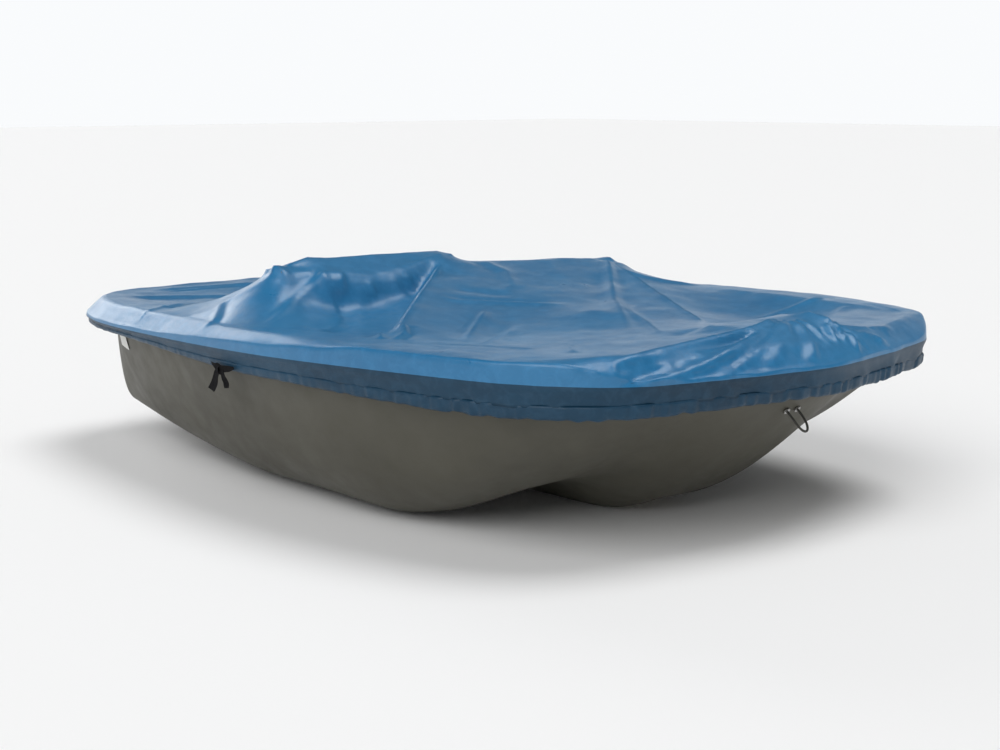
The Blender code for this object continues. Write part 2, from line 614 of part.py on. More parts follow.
bmesh.ops.create_uvsphere(bm, u_segments=16, v_segments=10, radius=0.021, matrix=Matrix.Translation((LEVER_X, 0, LEVER_Z + 0.122)))
knob = from_bm("lever_knob", bm, BLACK)
boolean(knob, cutter(rod("cut_knob", (LEVER_X, 0, LEVER_Z + 0.08), (LEVER_X, 0, LEVER_Z + 0.1103), 0.0085, None, 16, CUTS)))
# pivot bracket on the deck's ridge: two ears and a base with a window for the lever's foot
bracket = box("lever_bracket", (LEVER_X - 0.045, -0.032, 0.3156), (LEVER_X + 0.045, 0.032, 0.3206), BLACK, 0.0)
for k, side in enumerate((-1, 1)):
    y0, y1 = sorted((side * 0.020, side * 0.028))
    boolean(bracket, cutter(box(f"join_ear_{k}", (LEVER_X - 0.016, y0, 0.318), (LEVER_X + 0.016, y1, LEVER_Z + 0.016), None, 0.0, CUTS)), "UNION")
boolean(bracket, cutter(box("cut_bracket_window", (LEVER_X - 0.036, -0.0175, 0.30), (LEVER_X + 0.036, 0.0175, 0.3300), None, 0.0, CUTS)))
boolean(bracket, cutter(rod("cut_bracket_pivot", (LEVER_X, -0.05, LEVER_Z), (LEVER_X, 0.05, LEVER_Z), 0.0058, None, 16, CUTS)))
bm = bmesh.new()
bm_rod(bm, (LEVER_X, -0.0330, LEVER_Z), (LEVER_X, 0.0330, LEVER_Z), 0.0050, 12)
pin = from_bm("lever_pivot_pin", bm, STEEL)
for k, side in enumerate((-1, 1)):
    y0, y1 = sorted((side * 0.0290, side * 0.0335))
    boolean(pin, cutter(rod(f"join_pin_head_{k}", (LEVER_X, y0, LEVER_Z), (LEVER_X, y1, LEVER_Z), 0.0085, None, 12, CUTS)), "UNION")
# window in the deck's ridge for the lever's foot and the rod's front plate
boolean(deck, cutter(box("cut_deck_lever", (LEVER_X - 0.040, -0.0175, 0.28), (LEVER_X + 0.040, 0.0175, 0.34), None, 0.0, CUTS)))

rod_o = tube("steering_rod", [(LEVER_X - 0.012, ROD_Y, ROD_Z), (RUDDER_X + 0.012, ROD_Y, ROD_Z)], 0.0045, STEEL, 2)
slot_plate("rod_end_front", (LEVER_X - 0.0115, ROD_Y - 0.004, ROD_Z - 0.018), (LEVER_X + 0.0110, ROD_Y + 0.004, ROD_Z + 0.019),
           (LEVER_X - 0.0058, ROD_Y - 0.02, ROD_Z - 0.0060), (LEVER_X + 0.0058, ROD_Y + 0.02, ROD_Z + 0.0125), BLACK)
slot_plate("rod_end_rear", (RUDDER_X - 0.0110, ROD_Y - 0.020, ROD_Z - 0.004), (RUDDER_X + 0.0115, ROD_Y + 0.014, ROD_Z + 0.004),
           (RUDDER_X - 0.0064, ROD_Y - 0.0135, ROD_Z - 0.02), (RUDDER_X + 0.0064, ROD_Y + 0.0065, ROD_Z + 0.02), BLACK)
# guide for the rod, hung under the deck between the seats
guide = box("rod_guide", (-0.43, ROD_Y - 0.014, ROD_Z - 0.014), (-0.41, ROD_Y + 0.014, 0.3088), BLACK, 0.0)
boolean(guide, cutter(rod("cut_rod_guide", (-0.5, ROD_Y, ROD_Z), (-0.3, ROD_Y, ROD_Z), 0.0062, None, 12, CUTS)))

# rudder
bm = bmesh.new()
bm_rod(bm, (RUDDER_X, 0, 0.030), (RUDDER_X, 0, ROD_Z + 0.006), 0.0080, 16)
post = from_bm("rudder_post", bm, STEEL)
bm = bmesh.new()
blade_pts = [(0.055, 0.128), (-0.115, 0.128), (-0.135, 0.060), (-0.105, 0.024), (0.030, 0.024), (0.050, 0.060)]
for y in (-0.012, 0.012):
    pass
front = [bm.verts.new((RUDDER_X + x, -0.0125, z)) for x, z in blade_pts]
face = bm.faces.new(front)
ext = bmesh.ops.extrude_face_region(bm, geom=[face])
bmesh.ops.translate(bm, vec=(0, 0.025, 0), verts=[v for v in ext["geom"] if isinstance(v, bmesh.types.BMVert)])
blade = from_bm("rudder_blade", bm, BLACK)
boolean(blade, cutter(rod("cut_blade", (RUDDER_X, 0, 0.0), (RUDDER_X, 0, 0.2), 0.0085, None, 16, CUTS)))
tiller = box("tiller_arm", (RUDDER_X - 0.015, -0.017, ROD_Z - 0.0165), (RUDDER_X + 0.015, ROD_Y + 0.010, ROD_Z - 0.0065), STEEL, 0.0)
boolean(tiller, cutter(rod("cut_tiller", (RUDDER_X, 0, 0.2), (RUDDER_X, 0, 0.4), 0.0084, None, 16, CUTS)))
boolean(tiller, cutter(rod("join_tiller_pin", (RUDDER_X, ROD_Y, ROD_Z - 0.010), (RUDDER_X, ROD_Y, ROD_Z + 0.010), 0.0040, None, 12, CUTS)), "UNION")
# sleeve through the hull's tunnel roof, up to the tiller
TUNNEL_Z = bottom_point(0.0, (RUDDER_X - STERN_FOOT_X) / (HALF_LENGTH - 0.024 - STERN_FOOT_X)).z
HOLE_R = 0.0150
boolean(hull, cutter(rod("cut_rudder_hole", (RUDDER_X, 0, 0.05), (RUDDER_X, 0, 0.26), HOLE_R, None, 16, CUTS)))
sleeve = rod("rudder_sleeve", (RUDDER_X, 0, TUNNEL_Z - 0.007), (RUDDER_X, 0, ROD_Z - 0.0205), 0.0145, WHITE, 16)
boolean(sleeve, cutter(rod("cut_sleeve", (RUDDER_X, 0, 0.0), (RUDDER_X, 0, 0.4), 0.0090, None, 16, CUTS)))
nut = rod("sleeve_nut", (RUDDER_X, 0, TUNNEL_Z + 0.0062), (RUDDER_X, 0, TUNNEL_Z + 0.0150), 0.0250, BLACK, 6)
boolean(nut, cutter(rod("cut_nut", (RUDDER_X, 0, 0.0), (RUDDER_X, 0, 0.4), 0.0149, None, 16, CUTS)))

# ------------------------------------------------------------------ flotation, drain, plate, towing eye
for name, side in (("starboard", -1), ("port", 1)):
    lo, hi = sorted((side * 0.36, side * 0.49))
    box(f"foam_{name}", (-0.72, lo, 0.118), (-0.34, hi, 0.212), FOAM, 0.01)

# drain plug, low in the transom on the starboard side
def transom_x(z, y):
    t = (z - STERN_FOOT_Z) / (lip_z(-1.1) - 0.005 - STERN_FOOT_Z)
    low = bottom_point(y / KEEL_Y, 0.0)
    s = 1 - (1 - S_KEEL_STERN) * abs(y / KEEL_Y)
    top = edge(s, 0.024, 1 if y >= 0 else -1)
    t = (z - low.z) / (lip_z(top.x) - 0.005 - low.z)
    return low.x + (top.x - low.x) * t


DRAIN_Y, DRAIN_Z = -0.36, 0.165
DX = transom_x(DRAIN_Z, DRAIN_Y)
boolean(hull, cutter(rod("cut_drain", (DX - 0.05, DRAIN_Y, DRAIN_Z), (DX + 0.05, DRAIN_Y, DRAIN_Z), 0.0135, None, 12, CUTS)))
plug = rod("drain_plug", (DX - 0.012, DRAIN_Y, DRAIN_Z), (DX + 0.022, DRAIN_Y, DRAIN_Z), 0.0120, BLACK, 16)
boolean(plug, cutter(rod("join_plug_head", (DX - 0.022, DRAIN_Y, DRAIN_Z), (DX - 0.0105, DRAIN_Y, DRAIN_Z), 0.0200, None, 8, CUTS)), "UNION")

# blank plate on the starboard quarter, following the topside
rows = []
for i in range(4):
    w = 0.060 + 0.050 * i / 3
    row = []
    for j in range(3):
        q = 0.92 - 0.13 * j / 2
        p = side_point(q, w, -1)
        px = side_point(q, w + 0.01, -1) - p
        pq = side_point(q + 0.01, w, -1) - p
        n = px.cross(pq).normalized()
        if n.y > 0:
            n = -n
        row.append(p + n * 0.0022)
    rows.append(row)
grid_mesh("name_plate", rows, WHITE, None, 0.0012)

# towing loop: rope through two eyes on the centre stem
def stem_point(w, c=0.0):
    return bottom_point(c, w)


W_EYE = 0.945
for w in np.linspace(0.9, 0.99, 10):
    if bottom_point(0.0, float(w)).z < 0.302:
        W_EYE = float(w)
EYE = bottom_point(0.0, W_EYE)
bm = bmesh.new()
bm_box(bm, (EYE.x - 0.004, -0.024, EYE.z - 0.020), (EYE.x + 0.010, 0.024, EYE.z + 0.012))
EYE_T = (bottom_point(0.0, W_EYE + 0.01) - bottom_point(0.0, W_EYE - 0.01)).normalized()
EYE_N = Vector((EYE_T.z, 0, -EYE_T.x))
if EYE_N.x < 0:
    EYE_N = -EYE_N
bm.free()
for name, side in (("starboard", -1), ("port", 1)):
    bm = bmesh.new()
    c = EYE + Vector((0, side * 0.019, 0)) + EYE_N * 0.0022
    bm_rod(bm, c, c + EYE_N * 0.003, 0.0085, 12)
    from_bm(f"tow_washer_{name}", bm, STEEL)
LOOP_R, ROPE_R = 0.0185, 0.0028
pts = []
for k in range(17):
    a = math.pi * k / 16
    out = 0.0062 + ROPE_R + 0.048 * math.sin(a) ** 0.75
    y = 0.019 * math.cos(a) * (1 + 0.25 * math.sin(a) ** 2)
    drop = -0.008 * math.sin(a) ** 2
    p = EYE + EYE_N * out + Vector((0, y, drop))
    pts.append(p)
tube("tow_loop", pts, ROPE_R, WEBBING, 2)

# ------------------------------------------------------------------ mooring cover
def tent(x, y, cx0, cx1, hy, peak, fore, aft, across):
    dx = max(cx0 - x, 0) * aft + max(x - cx1, 0) * fore
    dy = max(abs(y) - hy, 0) * across
    return peak - math.hypot(dx, dy)


def cover_height(x, y):
    base = lip_z(x) + GUNWALE + 0.014
    p = smooth(-0.25, 0.30, y)
    h = [base,
         tent(x, y, -0.235 + 0.07 * p, -0.135 + 0.085 * p, 0.565, 0.588 - 0.040 * p, 0.15, 0.19, 0.68),
         tent(x, y, 0.28, 0.74, 0.10, 0.494, 0.06, 0.5, 0.25),
         tent(x, y, 0.98, 1.045, 0.15, 0.503, 0.60, 0.06, 0.16)]
    k = 70.0
    m = max(h)
    return m + math.log(sum(math.exp(k * (v - m)) for v in h)) / k


CU = [0.0, 0.02, 0.05, 0.09, 0.14, 0.21, 0.28, 0.345, 0.385, 0.425, 0.48, 0.55, 0.63, 0.71, 0.79, 0.86, 0.90, 0.935, 0.96, 0.98, 1.0]
CA = [0.0, 0.12, 0.25, 0.40, 0.54, 0.66, 0.76, 0.84, 0.90, 0.945, 0.975, 1.0]
rows = []
for u in CU:
    row = []
    for sgn, lines in ((-1, CA[::-1]), (1, CA[1:])):
        for a in lines:
            p = coons(u, 0.5 + 0.5 * sgn * a, 0.045)
            row.append(Vector((p.x, 0.0 if a == 0 else p.y, cover_height(p.x, p.y) + COVER_T)))
    rows.append(row)


def hem(x):
    return -0.030 - 0.034 * smooth(-0.6, 0.7, x)


cover = grid_mesh("cover", rows, VINYL, [ring_at(0.012, GUNWALE * 0.95), ring_at(-0.0070, 0.016), ring_at(-0.0073, -0.012), ring_at(-0.0073, hem)], COVER_T)

# tie straps knotted at the hem, one on each quarter: a bar over the hem and two hanging tails
for name, side in (("starboard", -1), ("port", 1)):
    s = share_at(-0.07)
    e, t0 = edge(s, -0.0108, side), edge(s + 0.02, -0.0108, side)
    along = Vector((t0.x - e.x, t0.y - e.y, 0)).normalized()
    out = Vector((along.y, -along.x, 0))
    if out.y * side < 0:
        out = -out
    z = lip_z(e.x) + hem(e.x)
    base = Vector((e.x, e.y, z))
    def tail(dirx, length, width, lean):
        rows = []
        for i in range(5):
            f = i / 4
            c = base + along * (dirx * (0.012 + lean * f * length)) + Vector((0, 0, 0.006 - length * f)) + out * (0.001 - 0.002 * math.sin(math.pi * f))
            wdir = (along * math.cos(lean * 0.9 * dirx) + Vector((0, 0, 1)) * math.sin(lean * 0.9 * dirx))
            rows.append([c - wdir * width / 2, c + wdir * width / 2][::side])
        return rows
    grid_mesh(f"strap_tail_long_{name}", tail(1, 0.062, 0.022, 0.75), WEBBING, None, 0.0016)
    grid_mesh(f"strap_tail_short_{name}", tail(-1, 0.052, 0.020, 0.22), WEBBING, None, 0.0016)

bpy.context.view_layer.update()
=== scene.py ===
import math

import bmesh
import bpy
import numpy as np
from mathutils import Matrix, Vector


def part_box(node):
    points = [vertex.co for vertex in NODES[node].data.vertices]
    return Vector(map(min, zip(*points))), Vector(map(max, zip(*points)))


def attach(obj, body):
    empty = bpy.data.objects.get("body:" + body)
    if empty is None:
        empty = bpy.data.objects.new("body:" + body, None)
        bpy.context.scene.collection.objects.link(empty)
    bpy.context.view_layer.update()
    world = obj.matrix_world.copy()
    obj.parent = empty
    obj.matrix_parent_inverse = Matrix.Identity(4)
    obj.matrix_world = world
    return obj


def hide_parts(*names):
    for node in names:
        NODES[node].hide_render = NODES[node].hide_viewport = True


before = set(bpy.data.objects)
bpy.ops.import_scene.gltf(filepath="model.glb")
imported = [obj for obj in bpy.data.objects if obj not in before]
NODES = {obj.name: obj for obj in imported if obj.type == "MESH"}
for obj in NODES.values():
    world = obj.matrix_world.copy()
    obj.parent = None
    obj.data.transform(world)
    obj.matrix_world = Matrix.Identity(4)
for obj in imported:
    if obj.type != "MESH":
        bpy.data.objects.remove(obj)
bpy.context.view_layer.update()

# ------------------------------------------------------------------ camera
YAW, PITCH, FOCAL = 2.3964, 0.1619, 1750.8
look = Vector((math.cos(YAW) * math.cos(PITCH), math.sin(YAW) * math.cos(PITCH), -math.sin(PITCH)))
right = Vector((math.sin(YAW), -math.cos(YAW), 0))
cam = bpy.data.objects.new("camera", bpy.data.cameras.new("camera"))
bpy.context.scene.collection.objects.link(cam)
cam.data.sensor_width = 36
cam.data.lens = FOCAL * 36 / 1000
cam.data.clip_end = 60
m = Matrix((right, right.cross(look), -look)).transposed().to_4x4()
m.translation = Vector((3.4535, -3.1319, 1.0117))
cam.matrix_world = m
bpy.context.scene.camera = cam


# ------------------------------------------------------------------ node materials
class Mat:
    """A Principled material with helpers for procedural detail in object space, which is the row frame in metres."""

    def __init__(self, name, rgb, rough=0.5, **sockets):
        self.m = bpy.data.materials.new(name)
        self.m.use_nodes = True
        self.t = self.m.node_tree
        self.b = self.t.nodes["Principled BSDF"]
        self.b.inputs["Base Color"].default_value = (*rgb, 1)
        self.b.inputs["Roughness"].default_value = rough
        for k, v in sockets.items():
            self.b.inputs[k.replace("_", " ")].default_value = v
        self.co = self.t.nodes.new("ShaderNodeTexCoord").outputs["Object"]
        self.normal = None

    def node(self, kind, **inputs):
        n = self.t.nodes.new(kind)
        for k, v in inputs.items():
            k = k.replace("_", " ")
            if hasattr(v, "is_linked"):
                self.t.links.new(v, n.inputs[k])
            else:
                n.inputs[k].default_value = v
        return n

    def mapped(self, scale=(1, 1, 1), rot=(0, 0, 0)):
        n = self.node("ShaderNodeMapping", Vector=self.co)
        n.inputs["Scale"].default_value = scale
        n.inputs["Rotation"].default_value = rot
        return n.outputs[0]

    def noise(self, scale, detail=4, rough=0.55, co=None, dist=0.0):
        return self.node("ShaderNodeTexNoise", Vector=co or self.co, Scale=scale, Detail=detail, Roughness=rough, Distortion=dist).outputs[0]

    def ramp(self, fac, stops):
        n = self.node("ShaderNodeValToRGB", Fac=fac)
        e = n.color_ramp.elements
        while len(e) < len(stops):
            e.new(0.5)
        for k, (pos, c) in zip(e, stops):
            k.position = pos
            k.color = (*c, 1) if hasattr(c, "__len__") else (c, c, c, 1)
        return n.outputs[0]

    def mix(self, fac, a, b, blend="MIX"):
        n = self.t.nodes.new("ShaderNodeMix")
        n.data_type, n.blend_type = "RGBA", blend
        for i, v in ((0, fac), (6, a), (7, b)):
            if hasattr(v, "is_linked"):
                self.t.links.new(v, n.inputs[i])
            else:
                n.inputs[i].default_value = v if i == 0 else (*v, 1)
        return n.outputs[2]

    def color(self, out):
        self.t.links.new(out, self.b.inputs["Base Color"])
        return self

    def rough(self, fac, lo, hi):
        n = self.t.nodes.new("ShaderNodeMapRange")
        self.t.links.new(fac, n.inputs[0])
        n.inputs[1].default_value, n.inputs[2].default_value = 0.25, 0.75
        n.inputs[3].default_value, n.inputs[4].default_value = lo, hi
        self.t.links.new(n.outputs[0], self.b.inputs["Roughness"])
        return self

    def bump(self, height, dist, strength=1.0):
        n = self.node("ShaderNodeBump", Height=height, Distance=dist, Strength=strength)
        if self.normal is not None:
            self.t.links.new(self.normal, n.inputs["Normal"])
        self.normal = n.outputs[0]
        self.t.links.new(self.normal, self.b.inputs["Normal"])
        return self

    def wave(self, scale, axis="X", co=None, dist=0.0, detail=0):
        n = self.node("ShaderNodeTexWave", Vector=co or self.co, Scale=scale, Distortion=dist, Detail=detail)
        n.wave_type, n.bands_direction = "BANDS", axis
        return n.outputs[1]


def vinyl(name, rgb, dark, rough=(0.20, 0.34), spec=0.5, coat=0.20):
    """Coated cover cloth: soft gloss, fine weave under the coating, small creases and rubbed patches."""
    v = Mat(name, rgb, 0.26, Specular_IOR_Level=spec, Coat_Weight=coat, Coat_Roughness=0.10)
    big = v.noise(3.1, 5, 0.6)
    fine = v.noise(38, 5, 0.6, dist=0.6)
    c = v.mix(v.ramp(big, [(0.30, 0.0), (0.70, 1.0)]), dark, rgb)
    c = v.mix(v.ramp(fine, [(0.45, 0.0), (0.75, 0.35)]), c, tuple(min(1, k * 1.35 + 0.02) for k in rgb))
    v.color(c)
    v.rough(v.noise(9, 4, 0.6), *rough)
    v.bump(v.noise(11, 3, 0.5, dist=0.7), 0.0012, 0.45)
    v.bump(v.noise(60, 3, 0.5, dist=0.5), 0.0003, 0.35)
    v.bump(v.wave(520, "X"), 0.00006, 0.5)
    v.bump(v.wave(520, "Y"), 0.00006, 0.5)
    return v.m


VINYL = vinyl("cover_vinyl", (0.014, 0.150, 0.320), (0.009, 0.120, 0.270), (0.26, 0.44), 0.5, 0.14)
# painted shade: the same cover vinyl at about a third of its brightness, for the hem and the band under the joint,
# where shade falls
PAINTED_SHADE_VINYL = vinyl("hem_vinyl_painted_shade", (0.008, 0.048, 0.094), (0.005, 0.028, 0.056), (0.34, 0.50), 0.28, 0.0)


def plastic(name, rgb, rough=0.5, grain=900, mottle=0.16):
    p = Mat(name, rgb, rough, Specular_IOR_Level=0.4)
    big = p.noise(2.3, 5, 0.6)
    c = p.mix(p.ramp(big, [(0.3, 0.0), (0.7, 1.0)]), tuple(k * (1 - mottle) for k in rgb), tuple(min(1, k * (1 + mottle)) for k in rgb))
    streak = p.noise(6, 4, 0.6, co=p.mapped((1, 1, 0.25)))
    c = p.mix(p.ramp(streak, [(0.55, 0.0), (0.8, 0.22)]), c, tuple(k * 0.6 for k in rgb))
    p.color(c)
    p.rough(p.noise(14, 4), rough - 0.08, rough + 0.12)
    p.bump(p.noise(grain, 2), 0.00012, 0.6)
    p.bump(p.noise(7, 3), 0.0010, 0.35)
    return p.m


HULL = plastic("hull_plastic", (0.070, 0.067, 0.051), 0.50)
DECK = plastic("deck_plastic", (0.50, 0.46, 0.37), 0.5)
SEATMAT = plastic("seat_plastic", (0.17, 0.18, 0.19), 0.5)
BLACK = plastic("black_plastic_part", (0.022, 0.022, 0.023), 0.5, 700)
CREAM = plastic("paddle_plastic_part", (0.50, 0.47, 0.40), 0.45)
WHITEP = plastic("white_plastic_part", (0.68, 0.68, 0.65), 0.45, 700, 0.05)
RUBBER = plastic("rubber_strip", (0.018, 0.018, 0.018), 0.7, 500)


def steel(name):
    s = Mat(name, (0.55, 0.55, 0.54), 0.3, Metallic=1.0)
    s.rough(s.noise(160, 3, co=s.mapped((1, 1, 12))), 0.22, 0.42)
    s.color(s.ramp(s.noise(25, 4), [(0.3, (0.46, 0.46, 0.45)), (0.7, (0.62, 0.62, 0.61))]))
    s.bump(s.noise(700, 2, co=s.mapped((1, 1, 10))), 0.00004, 0.5)
    return s.m


STEEL = steel("stainless")


def foam(name):
    f = Mat(name, (0.80, 0.80, 0.78), 0.9)
    v = f.node("ShaderNodeTexVoronoi", Vector=f.co, Scale=260.0)
    f.color(f.ramp(v.outputs[0], [(0.0, (0.84, 0.84, 0.82)), (0.8, (0.66, 0.66, 0.64))]))
    f.bump(v.outputs[0], 0.0006, 0.8)
    return f.m


FOAM = foam("bead_foam")


def webbing(name, rgb):
    w = Mat(name, rgb, 0.9, Specular_IOR_Level=0.12)
    co = w.mapped((1, 1, 1), (0, 0.6, 0))
    w.color(w.mix(w.noise(120, 3), tuple(k * 0.5 for k in rgb), tuple(k * 1.4 for k in rgb)))
    w.bump(w.wave(420, "X", co), 0.0004, 0.9)
    w.bump(w.wave(300, "Z", co), 0.0003, 0.8)
    return w.m


WEB = webbing("black_webbing_weave", (0.010, 0.010, 0.011))

ROPEM = Mat("rope_fibre", (0.035, 0.034, 0.030), 0.85, Sheen_Weight=0.15)
ROPEM.color(ROPEM.mix(ROPEM.noise(600, 3), (0.014, 0.014, 0.012), (0.085, 0.082, 0.070)))
ROPEM.bump(ROPEM.noise(1200, 3), 0.0003, 0.8)
ROPEM = ROPEM.m



def tow_route():
    """The rope's centreline, in metres, from the starboard washer round to the port one."""
    ex, ez, nx, nz = 1.0321, 0.2963, 0.7485, -0.6632
    out = [(ex + nx * 0.0040, -0.019, ez + nz * 0.0040)]
    for k in range(37):
        a = math.pi * (1 - k / 36)
        o = 0.0090 + 0.048 * abs(math.sin(a)) ** 0.75
        drop = -0.008 * math.sin(a) ** 2
        out.append((ex + nx * o, 0.019 * math.cos(a) * (1 + 0.25 * math.sin(a) ** 2), ez + nz * o + drop))
    return out + [(ex + nx * 0.0040, 0.019, ez + nz * 0.0040)]


for node, mat in {
    "hull_shell": HULL, "deck_shell": DECK, "paddle_housing": DECK, "rub_rail": RUBBER, "crank_shaft": STEEL, "paddle_wheel": CREAM,
    "pedal_starboard_inner": BLACK, "pedal_starboard_outer": BLACK, "pedal_port_inner": BLACK, "pedal_port_outer": BLACK,
    "shaft_bush_starboard": WHITEP, "shaft_bush_port": WHITEP, "bearing_block_starboard": BLACK, "bearing_block_port": BLACK,
    "seat_starboard": SEATMAT, "seat_port": SEATMAT, "rear_seat_starboard": SEATMAT, "rear_seat_port": SEATMAT,
    "steering_lever": STEEL, "lever_knob": BLACK, "lever_bracket": BLACK, "lever_pivot_pin": STEEL, "steering_rod": STEEL,
    "rod_end_front": BLACK, "rod_end_rear": BLACK, "rod_guide": BLACK, "rudder_post": STEEL, "rudder_blade": BLACK, "tiller_arm": STEEL,
    "rudder_sleeve": WHITEP, "sleeve_nut": BLACK, "foam_starboard": FOAM, "foam_port": FOAM, "drain_plug": BLACK, "name_plate": WHITEP,
    "tow_washer_starboard": STEEL, "tow_washer_port": STEEL, "tow_loop": ROPEM, "cover": VINYL,
    "strap_tail_long_starboard": WEB, "strap_tail_short_starboard": WEB, "strap_tail_long_port": WEB, "strap_tail_short_port": WEB,
}.items():
    o = NODES[node]
    if not o.material_slots:
        o.data.materials.append(mat)
    for slot in o.material_slots:
        slot.material = mat


# ------------------------------------------------------------------ tow loop: rope from washer to washer, on the frame's route
w0, w1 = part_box("tow_washer_starboard"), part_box("tow_washer_port")
rope_path = tow_route()
rope_curve = bpy.data.curves.new("tow_rope", "CURVE")
rope_curve.dimensions = "3D"
rope_curve.bevel_depth, rope_curve.bevel_resolution, rope_curve.use_fill_caps = 0.0028, 5, True
sp = rope_curve.splines.new("POLY")
sp.points.add(len(rope_path) - 1)
for k, p_ in enumerate(rope_path):
    sp.points[k].co = (*p_, 1)
rope_curve.materials.append(ROPEM)
tow_rope = bpy.data.objects.new("tow_rope", rope_curve)
bpy.context.scene.collection.objects.link(tow_rope)
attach(tow_rope, "boat")
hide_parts("tow_loop")


# ------------------------------------------------------------------ plan of the joint line, as the frame has it
HALF_LENGTH, HALF_BEAM = 1.142, 0.806
LIP_STERN, LIP_RISE = 0.375, 0.030
SHELL, GUNWALE, FLANGE_EDGE = 0.005, 0.045, 0.0075
STERN_FOOT_X, STERN_FOOT_Z, KEEL_Y = -1.03, 0.105, 0.455
OFFSETS = [(HALF_LENGTH, 0), (1.122, 0.16), (1.078, 0.36), (1.020, 0.537), (0.906, 0.658), (0.56, 0.767), (0.10, HALF_BEAM),
           (-0.46, 0.752), (-0.88, 0.675), (-1.062, 0.580), (-1.136, 0.42), (-HALF_LENGTH, 0.22), (-HALF_LENGTH, 0)]


def dense_half(n=400):
    p = [(OFFSETS[1][0], -OFFSETS[1][1])] + OFFSETS + [(OFFSETS[-2][0], -OFFSETS[-2][1])]
    out = []
    for i in range(1, len(p) - 2):
        p0, p1, p2, p3 = (np.array(q) for q in p[i - 1:i + 3])
        t1 = np.linalg.norm(p1 - p0) ** 0.5
        t2 = t1 + np.linalg.norm(p2 - p1) ** 0.5
        t3 = t2 + np.linalg.norm(p3 - p2) ** 0.5
        for k in range(24):
            t = t1 + (t2 - t1) * k / 24
            a1 = p0 * (t1 - t) / t1 + p1 * t / t1
            a2 = p1 * (t2 - t) / (t2 - t1) + p2 * (t - t1) / (t2 - t1)
            a3 = p2 * (t3 - t) / (t3 - t2) + p3 * (t - t2) / (t3 - t2)
            b1 = a1 * (t2 - t) / t2 + a2 * t / t2
            b2 = a2 * (t3 - t) / (t3 - t1) + a3 * (t - t1) / (t3 - t1)
            out.append(b1 * (t2 - t) / (t2 - t1) + b2 * (t - t1) / (t2 - t1))
    out.append(np.array(OFFSETS[-1]))
    q = np.array(out)
    s = np.concatenate([[0], np.cumsum(np.linalg.norm(np.diff(q, axis=0), axis=1))])
    at = np.linspace(0, s[-1], n)
    return np.stack([np.interp(at, s, q[:, k]) for k in range(2)], 1), s[-1]


HALF, HALF_PERIMETER = dense_half()
TAN = np.gradient(HALF, axis=0)
TAN /= np.linalg.norm(TAN, axis=1)[:, None]
NORMAL = np.stack([TAN[:, 1], -TAN[:, 0]], 1)
if NORMAL[200, 1] < 0:
    NORMAL *= -1
MARKS = np.linspace(0, 1, len(HALF))


def sm(a, b, t):
    t = np.clip((np.asarray(t, float) - a) / (b - a), 0, 1)
    return t * t * (3 - 2 * t)


def lip_z(x):
    return LIP_STERN + LIP_RISE * sm(-1.1, 0.7, x)


def edge(s, inset=0.0, side=1):
    """Points of the joint line, arrays in and out: s 0 at the bow's centre, 1 at the stern's."""
    s, inset, side = np.broadcast_arrays(np.asarray(s, float), inset, side)
    p = [np.interp(s, MARKS, HALF[:, k]) for k in range(2)]
    n = [np.interp(s, MARKS, NORMAL[:, k]) for k in range(2)]
    L = np.hypot(*n)
    x, y = p[0] - n[0] / L * inset, p[1] - n[1] / L * inset
    end = (s <= 1e-9) | (s >= 1 - 1e-9)
    x = np.where(end, p[0] - inset * np.sign(p[0]), x)
    y = np.where(end, 0.0, y)
    return np.stack([x, side * y], -1)


def share_at(x):
    i = int(np.argmin(np.abs(HALF[:, 0] - x) + (HALF[:, 1] < 0.3) * 9))
    return i / (len(HALF) - 1)


S_KEEL_BOW, S_SIDE_BOW, S_SIDE_STERN, S_KEEL_STERN = share_at(0.985), share_at(0.84), share_at(-1.03), share_at(-1.132)
S_CORNER_BOW, S_CORNER_STERN = share_at(0.915), share_at(-1.06)


# ------------------------------------------------------------------ lower hull, drawn finer than the frame's
def keel_centre(x):
    if x > 0.52:
        return (lip_z(1.1) - 0.004) * ((x - 0.52) / (HALF_LENGTH - 0.024 - 0.52)) ** 1.95
    return 0.150 * float(sm(0.0, 1.0, (0.30 - x) / 0.40))


def keel_side(x, x_end):
    if x > 0.24:
        return (lip_z(1.0) - 0.004) * ((x - 0.24) / (x_end - 0.24)) ** 1.72
    return STERN_FOOT_Z * (max(0.0, -0.24 - x) / 0.79) ** 1.35


def tunnel_roof(x, x_end):
    return 0.100 + 0.050 * float(sm(0.0, 1.0, (0.10 - x) / 0.40)) + (lip_z(1.05) - 0.104) * max(0.0, (x - 0.52) / (x_end - 0.52)) ** 1.9


def hull_inset(s):
    return 0.024 + 0.052 * float(sm(0.55, 0.80, s)) * (1 - 0.6 * float(sm(0.86, 1.0, s)))


def e3(s, inset, side):
    q = edge(s, inset, side)
    return Vector((float(q[0]), float(q[1]), 0))


def bottom_point(c, w, inset=0.024):
    a, side = abs(c), 1 if c >= 0 else -1
    end = e3(S_KEEL_BOW * a, inset, side)
    x = STERN_FOOT_X + (end.x - STERN_FOOT_X) * w
    y0 = KEEL_Y * a
    y = side * (y0 + (abs(end.y) - y0) * float(sm(0.45, 1.0, w)) ** 1.3)
    x_end = end.x
    k = e3(S_KEEL_BOW, inset, 1).x
    xc = STERN_FOOT_X + (HALF_LENGTH - inset - STERN_FOOT_X) * w
    xk = STERN_FOOT_X + (k - STERN_FOOT_X) * w
    zc, zk, zt = keel_centre(xc), keel_side(xk, k), tunnel_roof(x, x_end)
    if a < 0.56:
        t = float(sm(0.20, 0.56, a))
        z = zc + (zt - zc) * t
    else:
        t = float(sm(0.60, 0.945, a))
        z = zt + (zk - zt) * t
    return Vector((x, y, min(z, float(lip_z(x)) - 0.005)))


